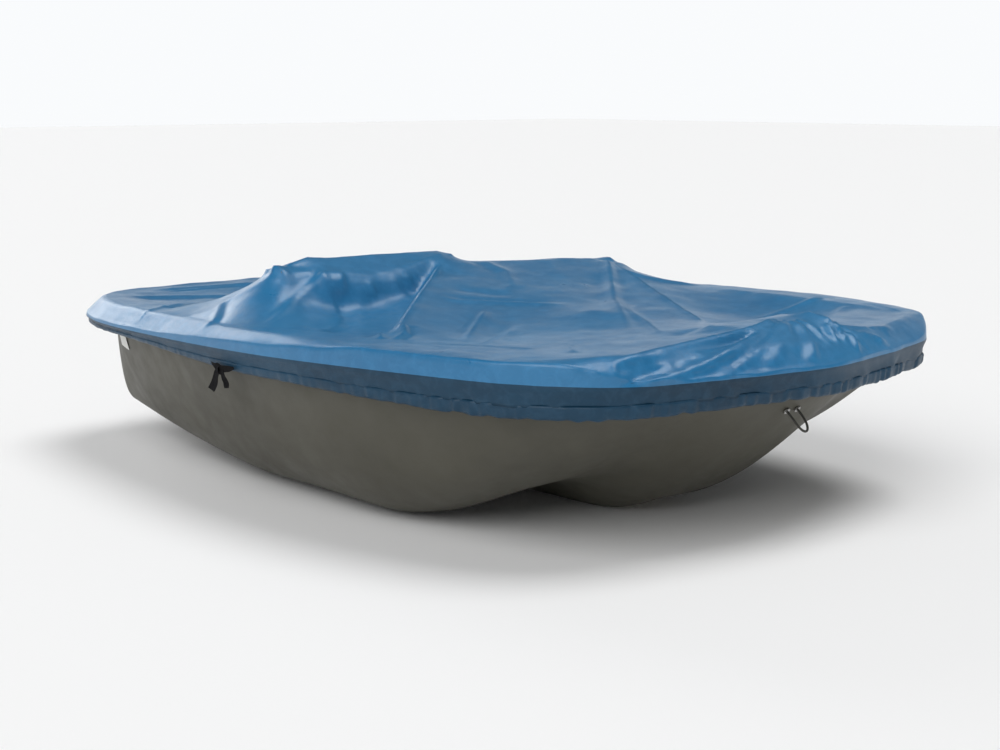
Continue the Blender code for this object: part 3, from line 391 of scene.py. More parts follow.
SIDE_OUT = [0.0, 0.20, 0.42, 0.60, 0.735, 0.835, 0.925, 1.0]
SIDE_UP = [0.0, 0.030, 0.125, 0.28, 0.46, 0.63, 0.82, 1.0]


def side_point(q, w, side=1, inset=0.024):
    k = bottom_point(side * 1.0, w, inset)
    s = S_SIDE_STERN + (S_SIDE_BOW - S_SIDE_STERN) * w
    e = e3(s, hull_inset(s), side)
    top = Vector((e.x, e.y, float(lip_z(e.x)) - 0.005))
    f = q * (len(SIDE_OUT) - 1)
    i = min(int(f), len(SIDE_OUT) - 2)
    t = f - i
    out = SIDE_OUT[i] + (SIDE_OUT[i + 1] - SIDE_OUT[i]) * t
    up = SIDE_UP[i] + (SIDE_UP[i + 1] - SIDE_UP[i]) * t
    lean = float(sm(0.62, 1.0, w))
    out = out + (up ** 0.8 - out) * lean * 0.75
    return Vector((k.x + (top.x - k.x) * (0.35 * out + 0.65 * up), k.y + (top.y - k.y) * out, k.z + (top.z - k.z) * up))


C_COLS = [0.0, 0.12, 0.22, 0.34, 0.46, 0.58, 0.70, 0.80, 0.88, 0.95, 1.0]
ROWS_W = [0.0, 0.06, 0.13, 0.21, 0.30, 0.38, 0.44, 0.50, 0.56, 0.61, 0.66, 0.71, 0.76, 0.81, 0.855, 0.895, 0.93, 0.96, 0.983, 1.0]
N_SIDE = len(SIDE_OUT) - 1


def hull_rows():
    cols = [("side", 1 - k / N_SIDE, -1) for k in range(N_SIDE)]
    cols += [("bottom", -c, -1) for c in reversed(C_COLS)]
    cols += [("bottom", c, 1) for c in C_COLS[1:]]
    cols += [("side", (k + 1) / N_SIDE, 1) for k in range(N_SIDE)]

    def rim(kind, value, side, bow):
        if bow:
            s = S_KEEL_BOW * abs(value) if kind == "bottom" else S_KEEL_BOW + (S_SIDE_BOW - S_KEEL_BOW) * value
            e = e3(s, 0.024, side)
        else:
            s = 1 - (1 - S_KEEL_STERN) * abs(value) if kind == "bottom" else S_KEEL_STERN + (S_SIDE_STERN - S_KEEL_STERN) * value
            e = e3(s, hull_inset(s), side)
        return Vector((e.x, e.y, float(lip_z(e.x)) - 0.005))
    low = [bottom_point(v, 0.0) if k == "bottom" else side_point(v, 0.0, s) for k, v, s in cols]
    top = [rim(*c, False) for c in cols]
    rows = [[a.lerp(b, t) for a, b in zip(top, low)] for t in (0.0, 0.33, 0.72)] + [low]
    for w in ROWS_W[1:-1]:
        rows.append([bottom_point(v, w) if k == "bottom" else side_point(v, w, s) for k, v, s in cols])
    rows.append([rim(*c, True) for c in cols])
    return np.array([[tuple(p) for p in r] for r in rows])


def refine(grid, n, axis, breaks=()):
    """Catmull-Rom through a grid's points along one axis; breaks are the rows where the surface keeps a crease."""
    g = np.moveaxis(grid, axis, 0)
    out = []
    last = len(g) - 1
    for i in range(last):
        a = g[i - 1] if i > 0 and i not in breaks else 2 * g[i] - g[i + 1]
        b, c = g[i], g[i + 1]
        d = g[i + 2] if i + 2 <= last and (i + 1) not in breaks else 2 * g[i + 1] - g[i]
        for k in range(n):
            t = k / n
            out.append(0.5 * (2 * b + (c - a) * t + (2 * a - 5 * b + 4 * c - d) * t * t + (3 * b - a - 3 * c + d) * t ** 3))
    out.append(g[-1])
    return np.moveaxis(np.array(out), 0, axis)


def sheet_mesh(name, grid, mat, closed_rows=False, flip=False):
    n, k = grid.shape[:2]
    idx = np.arange(n * k).reshape(n, k)
    if closed_rows:
        nxt = np.roll(idx, -1, 0)
        a, b, c, d = idx[:, :-1], nxt[:, :-1], nxt[:, 1:], idx[:, 1:]
    else:
        a, b, c, d = idx[:-1, :-1], idx[1:, :-1], idx[1:, 1:], idx[:-1, 1:]
    quads = np.stack([a.ravel(), b.ravel(), c.ravel(), d.ravel()], 1)
    if flip:
        quads = quads[:, ::-1]
    me = bpy.data.meshes.new(name)
    me.from_pydata(grid.reshape(-1, 3).tolist(), [], quads.tolist())
    me.shade_smooth()
    o = bpy.data.objects.new(name, me)
    bpy.context.scene.collection.objects.link(o)
    me.materials.append(mat)
    return o


def apply_modifiers(o):
    dg = bpy.context.evaluated_depsgraph_get()
    dg.update()
    me = bpy.data.meshes.new_from_object(o.evaluated_get(dg), preserve_all_data_layers=False, depsgraph=dg)
    o.modifiers.clear()
    old = o.data
    o.data = me
    bpy.data.meshes.remove(old)


def solidify(o, t, offset=-1):
    s = o.modifiers.new("wall", "SOLIDIFY")
    s.thickness, s.offset, s.use_even_offset = t, offset, False
    return o


def cutter(name, kind, *a):
    bm = bmesh.new()
    if kind == "box":
        lo, hi = Vector(a[0]), Vector(a[1])
        bmesh.ops.create_cube(bm, size=1.0, matrix=Matrix.Translation((lo + hi) / 2) @ Matrix.Diagonal((*(hi - lo), 1)))
    else:
        p, q, r = Vector(a[0]), Vector(a[1]), a[2]
        mt = Matrix.Translation((p + q) / 2) @ (q - p).to_track_quat("Z", "Y").to_matrix().to_4x4()
        bmesh.ops.create_cone(bm, cap_ends=True, segments=32, radius1=r, radius2=r, depth=(q - p).length, matrix=mt)
    me = bpy.data.meshes.new(name)
    bm.to_mesh(me)
    bm.free()
    o = bpy.data.objects.new(name, me)
    bpy.context.scene.collection.objects.link(o)
    return o


def cut(o, tools):
    for t in tools:
        b = o.modifiers.new("cut", "BOOLEAN")
        b.operation, b.solver, b.object = "DIFFERENCE", "EXACT", t
    apply_modifiers(o)
    for t in tools:
        bpy.data.objects.remove(t, do_unlink=True)


H = hull_rows()
H = refine(refine(H, 5, 0, breaks=(3,)), 5, 1, breaks=(N_SIDE + 0, N_SIDE + 2 * (len(C_COLS) - 1)))
H[..., 2] = np.maximum(H[..., 2], 0.0)      # the keels stand on the floor
n0, n1 = H.shape[:2]
hull = sheet_mesh("hull_visual", H, HULL, flip=True)
hull.data.update()
bm = bmesh.new()
bm.from_mesh(hull.data)
bm.verts.ensure_lookup_table()
idx = np.arange(n0 * n1).reshape(n0, n1)
rim = list(idx[0, :]) + list(idx[1:, -1]) + list(idx[-1, -2::-1]) + list(idx[-2:0:-1, 0])
pts = np.array([bm.verts[i].co for i in rim])
share = np.array([MARKS[np.argmin((HALF[:, 0] - p[0]) ** 2 + (HALF[:, 1] - abs(p[1])) ** 2)] for p in pts])
prev = [bm.verts[i] for i in rim]
for inset, dz in ((None, -0.002), (FLANGE_EDGE, -SHELL)):
    new = []
    for v, s, p in zip(prev, share, pts):
        side = 1 if p[1] >= 0 else -1
        if inset is None:
            q = np.array(edge(s, 0.0, side)) * 0.12 + np.array(p[:2]) * 0.88
            new.append(bm.verts.new((q[0], q[1], lip_z(q[0]) - SHELL)))
        else:
            q = edge(s, inset, side)
            new.append(bm.verts.new((float(q[0]), 0.0 if abs(p[1]) < 1e-6 else float(q[1]), float(lip_z(q[0])) - SHELL)))
    for i in range(len(prev)):
        j = (i + 1) % len(prev)
        bm.faces.new((prev[i], prev[j], new[j], new[i]))
    prev = new
bmesh.ops.remove_doubles(bm, verts=bm.verts, dist=0.0001)
bmesh.ops.recalc_face_normals(bm, faces=bm.faces)
bm.to_mesh(hull.data)
bm.free()
me = hull.data
down = sum(p.normal.z * p.area for p in me.polygons)
if down > 0:
    me.flip_normals()
solidify(hull, 0.0045)
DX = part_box("drain_plug")
tools = [cutter("c1", "box", (0.284, -0.097, -0.02), (0.716, 0.097, 0.34)), cutter("c2", "rod", (-0.86, 0, 0.05), (-0.86, 0, 0.26), 0.015),
         cutter("c3", "rod", (DX[0][0] - 0.03, -0.36, 0.165), (DX[1][0] + 0.03, -0.36, 0.165), 0.0135)]
cut(hull, tools)
hull.data.set_sharp_from_angle(angle=math.radians(50))
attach(hull, "boat")
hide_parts("hull_shell")

# ------------------------------------------------------------------ mooring cover: a stretched sheet over seats, lever, housing and nose
NU, NV = ((288, 204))
IN = 0.052


def coons_grid(nu, nv, inset):
    U, V = np.linspace(0, 1, nu + 1), np.linspace(0, 1, nv + 1)
    u, v = U[:, None], V[None, :]
    s_side = S_CORNER_STERN + (S_CORNER_BOW - S_CORNER_STERN) * U
    a = np.abs(V - 0.5) * 2
    sgn = np.where(V > 0.5, 1, -1)
    left, right_ = edge(s_side, inset, -1), edge(s_side, inset, 1)
    stern, bow = edge(1 - (1 - S_CORNER_STERN) * a, inset, sgn), edge(S_CORNER_BOW * a, inset, sgn)
    p = left[:, None] * (1 - v)[..., None] + right_[:, None] * v[..., None] + stern[None] * (1 - u)[..., None] + bow[None] * u[..., None]
    p -= left[0] * ((1 - u) * (1 - v))[..., None] + left[-1] * (u * (1 - v))[..., None] + right_[0] * ((1 - u) * v)[..., None] + right_[-1] * (u * v)[..., None]
    return p


def seg_dist(px, py, a, b):
    dx, dy = b[0] - a[0], b[1] - a[1]
    t = np.clip(((px - a[0]) * dx + (py - a[1]) * dy) / (dx * dx + dy * dy + 1e-12), 0, 1)
    return np.hypot(px - (a[0] + t * dx), py - (a[1] + t * dy)), t


def under(px, py):
    """Top of what lies under the sheet, from the frame itself."""
    from mathutils.bvhtree import BVHTree
    top = np.zeros(px.shape)
    for name in ("deck_shell", "seat_starboard", "seat_port", "rear_seat_starboard", "rear_seat_port", "lever_knob", "paddle_housing", "bearing_block_starboard", "bearing_block_port"):
        o = NODES[name]
        mw = o.matrix_world
        tree = BVHTree.FromPolygons([mw @ v.co for v in o.data.vertices], [tuple(p.vertices) for p in o.data.polygons])
        lo = np.array([tuple(mw @ v.co) for v in o.data.vertices])
        lo, hi = lo.min(0), lo.max(0)
        for k in np.argwhere((px > lo[0]) & (px < hi[0]) & (py > lo[1]) & (py < hi[1])):
            k = tuple(k)
            hit = tree.ray_cast(Vector((px[k], py[k], 2.0)), Vector((0, 0, -1)))[0]
            if hit is not None and hit.z > top[k]:
                top[k] = hit.z
    return top


def spread(a, r):
    """Highest value within r cells, so that the sheet bridges hard edges with a small clearance."""
    out = a.copy()
    for _ in range(r):
        p = np.pad(out, 1, mode="edge")
        out = np.maximum.reduce([p[1:-1, 1:-1], p[2:, 1:-1], p[:-2, 1:-1], p[1:-1, 2:], p[1:-1, :-2]])
    return out


# lines that the sheet is stretched over: x, y, z
HIGH = [
    [(-0.180, -0.508, 0.574), (-0.180, -0.454, 0.587), (-0.180, -0.393, 0.581), (-0.180, -0.281, 0.580), (-0.180, -0.186, 0.579), (-0.180, -0.018, 0.575), (-0.165, 0.020, 0.566)],
    [(-0.105, -0.457, 0.556), (-0.100, -0.410, 0.551), (-0.095, -0.300, 0.540), (-0.100, -0.200, 0.549), (-0.125, -0.110, 0.565), (-0.150, -0.030, 0.572)],
    [(-0.160, 0.000, 0.556), (-0.142, 0.043, 0.547), (-0.103, 0.135, 0.543), (-0.064, 0.227, 0.543), (-0.029, 0.310, 0.545), (0.006, 0.394, 0.542), (0.030, 0.450, 0.532)],
    [(-0.138, -0.025, 0.553), (-0.018, -0.164, 0.531), (0.126, -0.330, 0.507), (0.248, -0.471, 0.485), (0.333, -0.568, 0.470), (0.378, -0.620, 0.460)],
    [(0.032, 0.449, 0.529), (0.168, 0.366, 0.522), (0.394, 0.229, 0.499), (0.568, 0.123, 0.485), (0.708, 0.038, 0.474), (0.766, 0.000, 0.467)],
    [(0.766, 0.000, 0.467), (0.833, 0.004, 0.472), (0.900, 0.050, 0.486), (0.945, 0.075, 0.495), (0.995, 0.105, 0.508), (1.045, 0.105, 0.500)],
    [(0.900, 0.030, 0.484), (0.987, 0.000, 0.492)],
    [(0.987, 0.000, 0.492), (1.012, -0.110, 0.488), (1.012, -0.200, 0.481), (1.006, -0.300, 0.474), (1.003, -0.400, 0.468), (0.990, -0.480, 0.463)],
]
# valleys where it hangs between them
LOW = [
    [(-0.035, -0.545, 0.462), (-0.020, -0.45, 0.449), (-0.015, -0.33, 0.452), (-0.028, -0.22, 0.474), (-0.075, -0.13, 0.512)],
    [(-0.085, -0.130, 0.512), (-0.056, -0.197, 0.478), (0.088, -0.363, 0.447), (0.210, -0.504, 0.439), (0.295, -0.602, 0.442)],
    [(0.055, -0.50, 0.437), (0.100, -0.62, 0.438)],
    [(0.080, 0.500, 0.490), (0.194, 0.409, 0.472), (0.420, 0.275, 0.449), (0.594, 0.175, 0.443), (0.734, 0.090, 0.446), (0.860, 0.090, 0.458)],
    [(0.300, 0.520, 0.445), (0.480, 0.420, 0.436), (0.660, 0.330, 0.436), (0.780, 0.250, 0.442)],
    [(-0.300, 0.450, 0.480), (-0.300, 0.150, 0.505)],
]


def gun(x, y):
    """Height of the gunwale's crest over the joint."""
    return 0.0520 + 0.009 * sm(0.84, 0.98, x) * sm(0.10, -0.10, y) 


def solve(nu, nv, z, n):
    p = coons_grid(nu, nv, IN)
    X, Y = p[..., 0], p[..., 1]
    e = lip_z(X) + gun(X, Y)
    S = np.maximum(spread(under(X, Y), 1) + 0.0025, 0.2)
    for line in HIGH:
        for a, b in zip(line, line[1:]):
            d, t = seg_dist(X, Y, a, b)
            S = np.maximum(S, np.where(d < 0.03, a[2] + (b[2] - a[2]) * t - 1.2 * np.maximum(d - 0.004, 0), -9))
    C = np.full(X.shape, 9.0)
    for line in LOW:
        for a, b in zip(line, line[1:]):
            d, t = seg_dist(X, Y, a, b)
            C = np.minimum(C, np.where(d < 0.045, a[2] + (b[2] - a[2]) * t + 0.7 * np.maximum(d - 0.012, 0), 9))
    fixed = np.zeros(X.shape, bool)
    fixed[0] = fixed[-1] = fixed[:, 0] = fixed[:, -1] = True
    hx, hy = 2.15 / nu, 1.45 / nv
    wx, wy = 1 / hx ** 2, 1 / hy ** 2
    wx, wy = wx / (2 * (wx + wy)), wy / (2 * (wx + wy))
    h2 = 1 / (2 * (1 / hx ** 2 + 1 / hy ** 2))
    pull = 0.30 + 2.6 * np.exp(-(((X - 0.55) / 0.30) ** 2 + ((Y - 0.42) / 0.20) ** 2)) + 0.8 * np.exp(-(((X + 0.65) / 0.25) ** 2 + ((Y + 0.25) / 0.35) ** 2)) \
        + 0.9 * np.exp(-(((X - 0.45) / 0.25) ** 2 + ((Y + 0.30) / 0.22) ** 2)) + 0.8 * np.exp(-(((X + 0.65) / 0.3) ** 2 + ((Y - 0.25) / 0.35) ** 2))
    z = np.where(fixed, e, z)
    for it in range(n):
        q = z.copy()
        q[1:-1, 1:-1] = wx * (z[2:, 1:-1] + z[:-2, 1:-1]) + wy * (z[1:-1, 2:] + z[1:-1, :-2]) - pull[1:-1, 1:-1] * h2
        q = np.minimum(q, C)
        z = np.where(fixed, e, np.maximum(q, S))
    return X, Y, z, S


def upsample(z, nu, nv):
    a = np.linspace(0, z.shape[0] - 1, nu + 1)
    b = np.linspace(0, z.shape[1] - 1, nv + 1)
    i, j = np.minimum(a.astype(int), z.shape[0] - 2), np.minimum(b.astype(int), z.shape[1] - 2)
    f, g = (a - i)[:, None], (b - j)[None, :]
    i, j = i[:, None], j[None, :]
    return z[i, j] * (1 - f) * (1 - g) + z[i + 1, j] * f * (1 - g) + z[i, j + 1] * (1 - f) * g + z[i + 1, j + 1] * f * g


zz_ = np.full((NU // 4 + 1, NV // 4 + 1), 0.44)
for part, n in ((4, 2500), (2, 900), (1, 260)):
    nu, nv = NU // part, NV // part
    X, Y, zz_, SUP = solve(nu, nv, upsample(zz_, nu, nv), n)
BASE = zz_


def smooth_grid(z, n, keep=0.0):
    for _ in range(n):
        p = np.pad(z, 1, mode="edge")
        q = 0.25 * z + 0.125 * (p[2:, 1:-1] + p[:-2, 1:-1] + p[1:-1, 2:] + p[1:-1, :-2]) + 0.0625 * (p[2:, 2:] + p[:-2, :-2] + p[2:, :-2] + p[:-2, 2:])
        q[0], q[-1], q[:, 0], q[:, -1] = z[0], z[-1], z[:, 0], z[:, -1]
        z = q
    return z


def fold(P, N, points, amp, width, lean=0.0, t0=0.10, t1=0.18, widen=0.0, power=1.6):
    """Lift of a fold in the sheet along a line in space: a crest (or, below 0, a valley), with a hollow to one side where lean isn't 0."""
    q = np.array(points, float)
    lo, hi = q.min(0) - 5 * width * (1 + abs(widen)), q.max(0) + 5 * width * (1 + abs(widen))
    near = np.where(((P > lo) & (P < hi)).all(1))[0]
    out = np.zeros(len(P))
    if not len(near):
        return out
    p, nn = P[near], N[near]
    L = np.concatenate([[0], np.cumsum(np.linalg.norm(np.diff(q, axis=0), axis=1))])
    best = np.full(len(near), 9.0)
    sign, along = np.zeros(len(near)), np.zeros(len(near))
    for k, (a, b) in enumerate(zip(q, q[1:])):
        d = b - a
        t = np.clip((p - a) @ d / (d @ d), 0, 1)
        r = p - (a + t[:, None] * d)
        # distance measured within the sheet, so that a line a little above or under it still marks it
        h = (r * nn).sum(1)
        dist = np.sqrt(np.maximum((r * r).sum(1) - 0.85 * h * h, 0))
        sg = np.sign((np.cross(d, r) * nn).sum(1))
        new = dist < best
        best, sign = np.where(new, dist, best), np.where(new, sg, sign)
        along = np.where(new, (L[k] + t * (L[k + 1] - L[k])) / L[-1], along)
    w = width * (1 + widen * along)
    taper = (sm(0, t0, along) if t0 > 0 else 1.0) * ((1 - sm(1 - t1, 1, along)) if t1 > 0 else 1.0)
    g = np.exp(-(best / w) ** power)
    if lean:
        g = g - abs(lean) * np.exp(-((best * sign - np.sign(lean) * 1.7 * w) / (1.2 * w)) ** 2)
    out[near] = amp * taper * g
    return out


def value_noise(x, y, seed, scale):
    g = np.random.RandomState(seed).uniform(-1, 1, (64, 64))
    gx, gy = (x * scale + 500) % 64, (y * scale + 500) % 64
    i, j = np.floor(gx).astype(int), np.floor(gy).astype(int)
    fx, fy = gx - i, gy - j
    fx, fy = fx * fx * (3 - 2 * fx), fy * fy * (3 - 2 * fy)
    i, j, i1, j1 = i % 64, j % 64, (i + 1) % 64, (j + 1) % 64
    return (g[i, j] * (1 - fx) + g[i1, j] * fx) * (1 - fy) + (g[i, j1] * (1 - fx) + g[i1, j1] * fx) * fy


z = smooth_grid(BASE, 2)
z = np.maximum(z, SUP - 0.0005)
GRID = np.dstack([X, Y, z])

# creases and folds in the sheet: line in space, height, width, options
FOLDS = [
    # fan at the nose, towards the starboard bow
    ([(0.985, 0.000, 0.492), (1.012, -0.110, 0.484), (1.014, -0.200, 0.475), (1.008, -0.300, 0.466), (1.006, -0.400, 0.459), (0.998, -0.500, 0.452), (0.985, -0.575, 0.447)], 0.0110, 0.0095, dict(lean=0.35, t0=0.02, t1=0.12)),
    ([(1.013, -0.045, 0.490), (1.034, -0.196, 0.466), (1.036, -0.324, 0.448), (1.040, -0.430, 0.436), (1.030, -0.500, 0.428), (1.020, -0.560, 0.410)], -0.0100, 0.0095, dict(t0=0.16, t1=0.10, widen=0.4)),
    ([(0.995, -0.010, 0.491), (1.038, -0.149, 0.474), (1.056, -0.237, 0.452), (1.066, -0.345, 0.437), (1.060, -0.422, 0.425), (1.040, -0.529, 0.412)], 0.0120, 0.0085, dict(t0=0.10, t1=0.15)),
    ([(1.020, -0.040, 0.485), (1.062, -0.150, 0.456), (1.078, -0.230, 0.438), (1.085, -0.310, 0.424)], -0.0070, 0.0080, dict(t0=0.20)),
    ([(1.005, -0.006, 0.490), (1.058, -0.122, 0.466), (1.080, -0.197, 0.446), (1.092, -0.275, 0.428), (1.090, -0.338, 0.416)], 0.0090, 0.0062, dict(t0=0.08, t1=0.25)),
    ([(1.030, -0.020, 0.478), (1.084, -0.110, 0.448), (1.105, -0.180, 0.428), (1.112, -0.240, 0.415)], -0.0045, 0.0100, dict(t0=0.25)),
    ([(0.998, 0.010, 0.491), (1.055, -0.060, 0.466), (1.098, -0.150, 0.436), (1.112, -0.230, 0.416)], 0.0090, 0.0085, dict(t0=0.05, t1=0.25, widen=0.6)),
    ([(1.030, 0.000, 0.478), (1.090, -0.050, 0.448), (1.120, -0.100, 0.425)], -0.0040, 0.0110, dict(t0=0.25)),
    ([(1.005, 0.020, 0.490), (1.062, 0.000, 0.463), (1.112, -0.040, 0.432), (1.128, -0.080, 0.418)], 0.0085, 0.0085, dict(t0=0.05, t1=0.3, widen=0.5)),
    ([(1.040, 0.035, 0.480), (1.095, 0.020, 0.447), (1.120, -0.005, 0.430)], -0.0040, 0.0080),
    ([(1.000, 0.040, 0.492), (1.060, 0.045, 0.468), (1.100, 0.030, 0.446)], 0.0065, 0.0070, dict(t1=0.3)),
    # twisted knot of cloth at the top of the nose
    ([(1.058, 0.085, 0.490), (1.082, 0.078, 0.470), (1.098, 0.070, 0.453)], 0.0160, 0.0072, dict(t0=0.2, t1=0.3)),
    ([(1.062, 0.108, 0.490), (1.088, 0.112, 0.466), (1.100, 0.098, 0.450)], 0.0140, 0.0062, dict(t0=0.2, t1=0.3)),
    ([(1.060, 0.097, 0.490), (1.088, 0.095, 0.463), (1.102, 0.084, 0.448)], -0.0100, 0.0050),
    ([(1.070, 0.060, 0.482), (1.105, 0.055, 0.446)], -0.0060, 0.0080),
    ([(1.050, 0.125, 0.493), (1.090, 0.140, 0.456), (1.122, 0.125, 0.424)], 0.0100, 0.0060, dict(t0=0.05, t1=0.2)),
    ([(1.060, 0.140, 0.486), (1.100, 0.165, 0.446), (1.118, 0.168, 0.426)], -0.0050, 0.0075),
    ([(1.045, 0.135, 0.492), (1.072, 0.195, 0.466), (1.090, 0.250, 0.440), (1.095, 0.290, 0.424)], 0.0100, 0.0068, dict(t0=0.05, t1=0.25, widen=0.5)),
    ([(1.050, 0.170, 0.482), (1.080, 0.225, 0.454), (1.100, 0.245, 0.432)], -0.0048, 0.0080),
    ([(1.030, 0.150, 0.490), (1.040, 0.240, 0.466), (1.045, 0.330, 0.450), (1.040, 0.400, 0.438)], 0.0050, 0.0090, dict(t0=0.05, t1=0.3)),
    ([(1.045, 0.260, 0.458), (1.055, 0.340, 0.440)], -0.0040, 0.0100),
    ([(0.985, 0.130, 0.500), (0.930, 0.250, 0.474), (0.900, 0.360, 0.462)], 0.0040, 0.0120, dict(t1=0.5)),
    # behind the nose
    ([(0.940, 0.010, 0.484), (0.900, -0.120, 0.470), (0.870, -0.260, 0.461)], -0.0040, 0.0240),
    # pucker where the bow fold meets the crease
    ([(1.000, -0.545, 0.446), (1.012, -0.560, 0.434)], 0.0050, 0.0060),
    ([(0.985, -0.590, 0.446), (1.003, -0.590, 0.432)], 0.0045, 0.0050),
    ([(0.965, -0.615, 0.446), (0.985, -0.615, 0.434)], -0.0035, 0.0060),
    ([(0.940, -0.650, 0.442), (0.955, -0.655, 0.425)], 0.0030, 0.0060),
    # big front panel
    ([(0.032, 0.449, 0.529), (0.168, 0.366, 0.522), (0.394, 0.229, 0.499), (0.568, 0.123, 0.485), (0.708, 0.038, 0.474), (0.775, 0.000, 0.468)], 0.0030, 0.0080, dict(t0=0.03, t1=0.15)),
    ([(-0.138, -0.025, 0.553), (-0.018, -0.164, 0.531), (0.126, -0.330, 0.507), (0.248, -0.471, 0.485), (0.333, -0.568, 0.470), (0.378, -0.620, 0.460)], 0.0030, 0.0075, dict(t0=0.03, t1=0.1)),
    ([(0.150, -0.300, 0.497), (0.203, -0.269, 0.493), (0.261, -0.186, 0.488), (0.330, -0.110, 0.486), (0.390, -0.050, 0.485)], 0.0055, 0.0150, dict(lean=0.8, t0=0.3, t1=0.4)),
    ([(0.100, -0.235, 0.508), (0.150, -0.160, 0.508), (0.240, -0.080, 0.502)], -0.0045, 0.0300, dict(t0=0.3, t1=0.4)),
    ([(0.272, -0.234, 0.484), (0.420, -0.413, 0.460), (0.560, -0.575, 0.458)], 0.0058, 0.0130, dict(lean=-0.6, t0=0.3, t1=0.45)),
    ([(0.440, -0.284, 0.462), (0.563, -0.471, 0.455), (0.660, -0.600, 0.456)], 0.0042, 0.0150, dict(lean=-0.5, t0=0.3, t1=0.4)),
    ([(0.330, -0.220, 0.478), (0.480, -0.380, 0.460), (0.600, -0.520, 0.456)], -0.0035, 0.0240, dict(t0=0.3, t1=0.4)),
    ([(0.039, 0.433, 0.530), (0.230, 0.246, 0.509), (0.418, 0.061, 0.488), (0.634, -0.128, 0.470), (0.843, -0.314, 0.460)], 0.0085, 0.0150, dict(lean=0.55, t0=0.02, t1=0.45, widen=0.5)),
    ([(0.418, 0.061, 0.488), (0.665, -0.090, 0.470), (0.900, -0.270, 0.462)], 0.0050, 0.0120, dict(t0=0.3, t1=0.4)),
    ([(0.100, 0.330, 0.516), (0.300, 0.120, 0.496), (0.480, -0.060, 0.475)], -0.0050, 0.0300, dict(t0=0.3, t1=0.4)),
    ([(-0.120, 0.090, 0.545), (0.020, 0.060, 0.530), (0.140, -0.030, 0.512), (0.210, -0.140, 0.498)], 0.0045, 0.0180, dict(lean=-0.6, t0=0.1, t1=0.4)),
    ([(-0.040, 0.270, 0.545), (0.060, 0.200, 0.525), (0.120, 0.100, 0.515)], 0.0030, 0.0220, dict(t1=0.5)),
    ([(0.520, -0.640, 0.452), (0.640, -0.560, 0.452), (0.760, -0.520, 0.455)], 0.0035, 0.0160),
    ([(0.700, -0.430, 0.456), (0.790, -0.470, 0.455), (0.860, -0.520, 0.454)], 0.0030, 0.0140),
    # foot of the panel's left ridge
    ([(0.335, -0.560, 0.472), (0.390, -0.600, 0.462), (0.430, -0.665, 0.455)], 0.0060, 0.0100, dict(lean=0.5)),
    ([(0.350, -0.640, 0.456), (0.400, -0.680, 0.452)], 0.0060, 0.0090),
    ([(0.300, -0.610, 0.460), (0.350, -0.680, 0.452)], -0.0045, 0.0100),
    # starboard seat back and the folds that hang from it
    ([(-0.100, -0.405, 0.552), (-0.030, -0.450, 0.505), (0.050, -0.520, 0.460), (0.130, -0.640, 0.450), (0.190, -0.720, 0.450)], 0.0075, 0.0120, dict(lean=0.5, t0=0.04, t1=0.25)),
    ([(-0.105, -0.455, 0.552), (-0.085, -0.540, 0.512), (-0.050, -0.630, 0.478), (-0.010, -0.720, 0.452)], 0.0060, 0.0110, dict(lean=-0.5, t0=0.04, t1=0.3)),
    ([(-0.125, -0.475, 0.556), (-0.200, -0.590, 0.505), (-0.290, -0.670, 0.458)], 0.0055, 0.0140, dict(lean=-0.5, t0=0.04, t1=0.3, widen=0.5)),
    ([(-0.170, -0.490, 0.560), (-0.320, -0.590, 0.492), (-0.520, -0.650, 0.440)], 0.0055, 0.0160, dict(lean=-0.5, t0=0.04, t1=0.35, widen=0.5)),
    ([(-0.190, -0.480, 0.565), (-0.420, -0.520, 0.485), (-0.700, -0.560, 0.430)], 0.0060, 0.0200, dict(lean=0.5, t0=0.05, t1=0.4, widen=0.4)),
    ([(-0.200, -0.400, 0.560), (-0.450, -0.380, 0.480), (-0.760, -0.400, 0.430)], 0.0045, 0.0240, dict(t0=0.2, t1=0.4)),
    ([(-0.090, -0.300, 0.530), (-0.050, -0.380, 0.480), (0.030, -0.450, 0.450)], 0.0040, 0.0100, dict(t0=0.2, t1=0.3)),
    ([(-0.100, -0.250, 0.530), (-0.040, -0.230, 0.490), (0.030, -0.300, 0.470)], 0.0035, 0.0100, dict(t0=0.2, t1=0.3)),
    # stern quarter
    ([(-0.620, -0.600, 0.430), (-0.560, -0.690, 0.415), (-0.550, -0.722, 0.395)], 0.0040, 0.0120, dict(lean=0.8)),
    ([(-0.780, -0.300, 0.430), (-0.660, -0.500, 0.430), (-0.600, -0.640, 0.425)], 0.0055, 0.0160, dict(lean=0.8)),
    ([(-0.270, -0.640, 0.455), (-0.200, -0.720, 0.440), (-0.170, -0.765, 0.415)], 0.0050, 0.0120, dict(lean=0.8)),
    ([(-0.820, -0.100, 0.435), (-0.900, -0.350, 0.425), (-0.930, -0.560, 0.415)], 0.0050, 0.0200, dict(lean=0.6)),
    ([(-0.960, 0.100, 0.430), (-1.020, -0.150, 0.425), (-1.040, -0.420, 0.415)], 0.0040, 0.0180, dict(lean=0.6)),
    ([(-0.500, -0.050, 0.480), (-0.700, -0.220, 0.440), (-0.880, -0.380, 0.425)], 0.0050, 0.0260, dict(t0=0.2, t1=0.3)),
    ([(-0.340, -0.250, 0.520), (-0.560, -0.260, 0.460), (-0.780, -0.280, 0.430)], 0.0040, 0.0220, dict(t0=0.2, t1=0.4)),
    # port side, seen past the crest
    ([(0.600, 0.690, 0.452), (0.560, 0.560, 0.442), (0.540, 0.440, 0.438)], 0.0050, 0.0120, dict(t0=0.05, t1=0.3)),
    ([(0.030, 0.450, 0.530), (0.100, 0.600, 0.480), (0.160, 0.720, 0.452)], 0.0070, 0.0150, dict(t0=0.05, t1=0.3)),
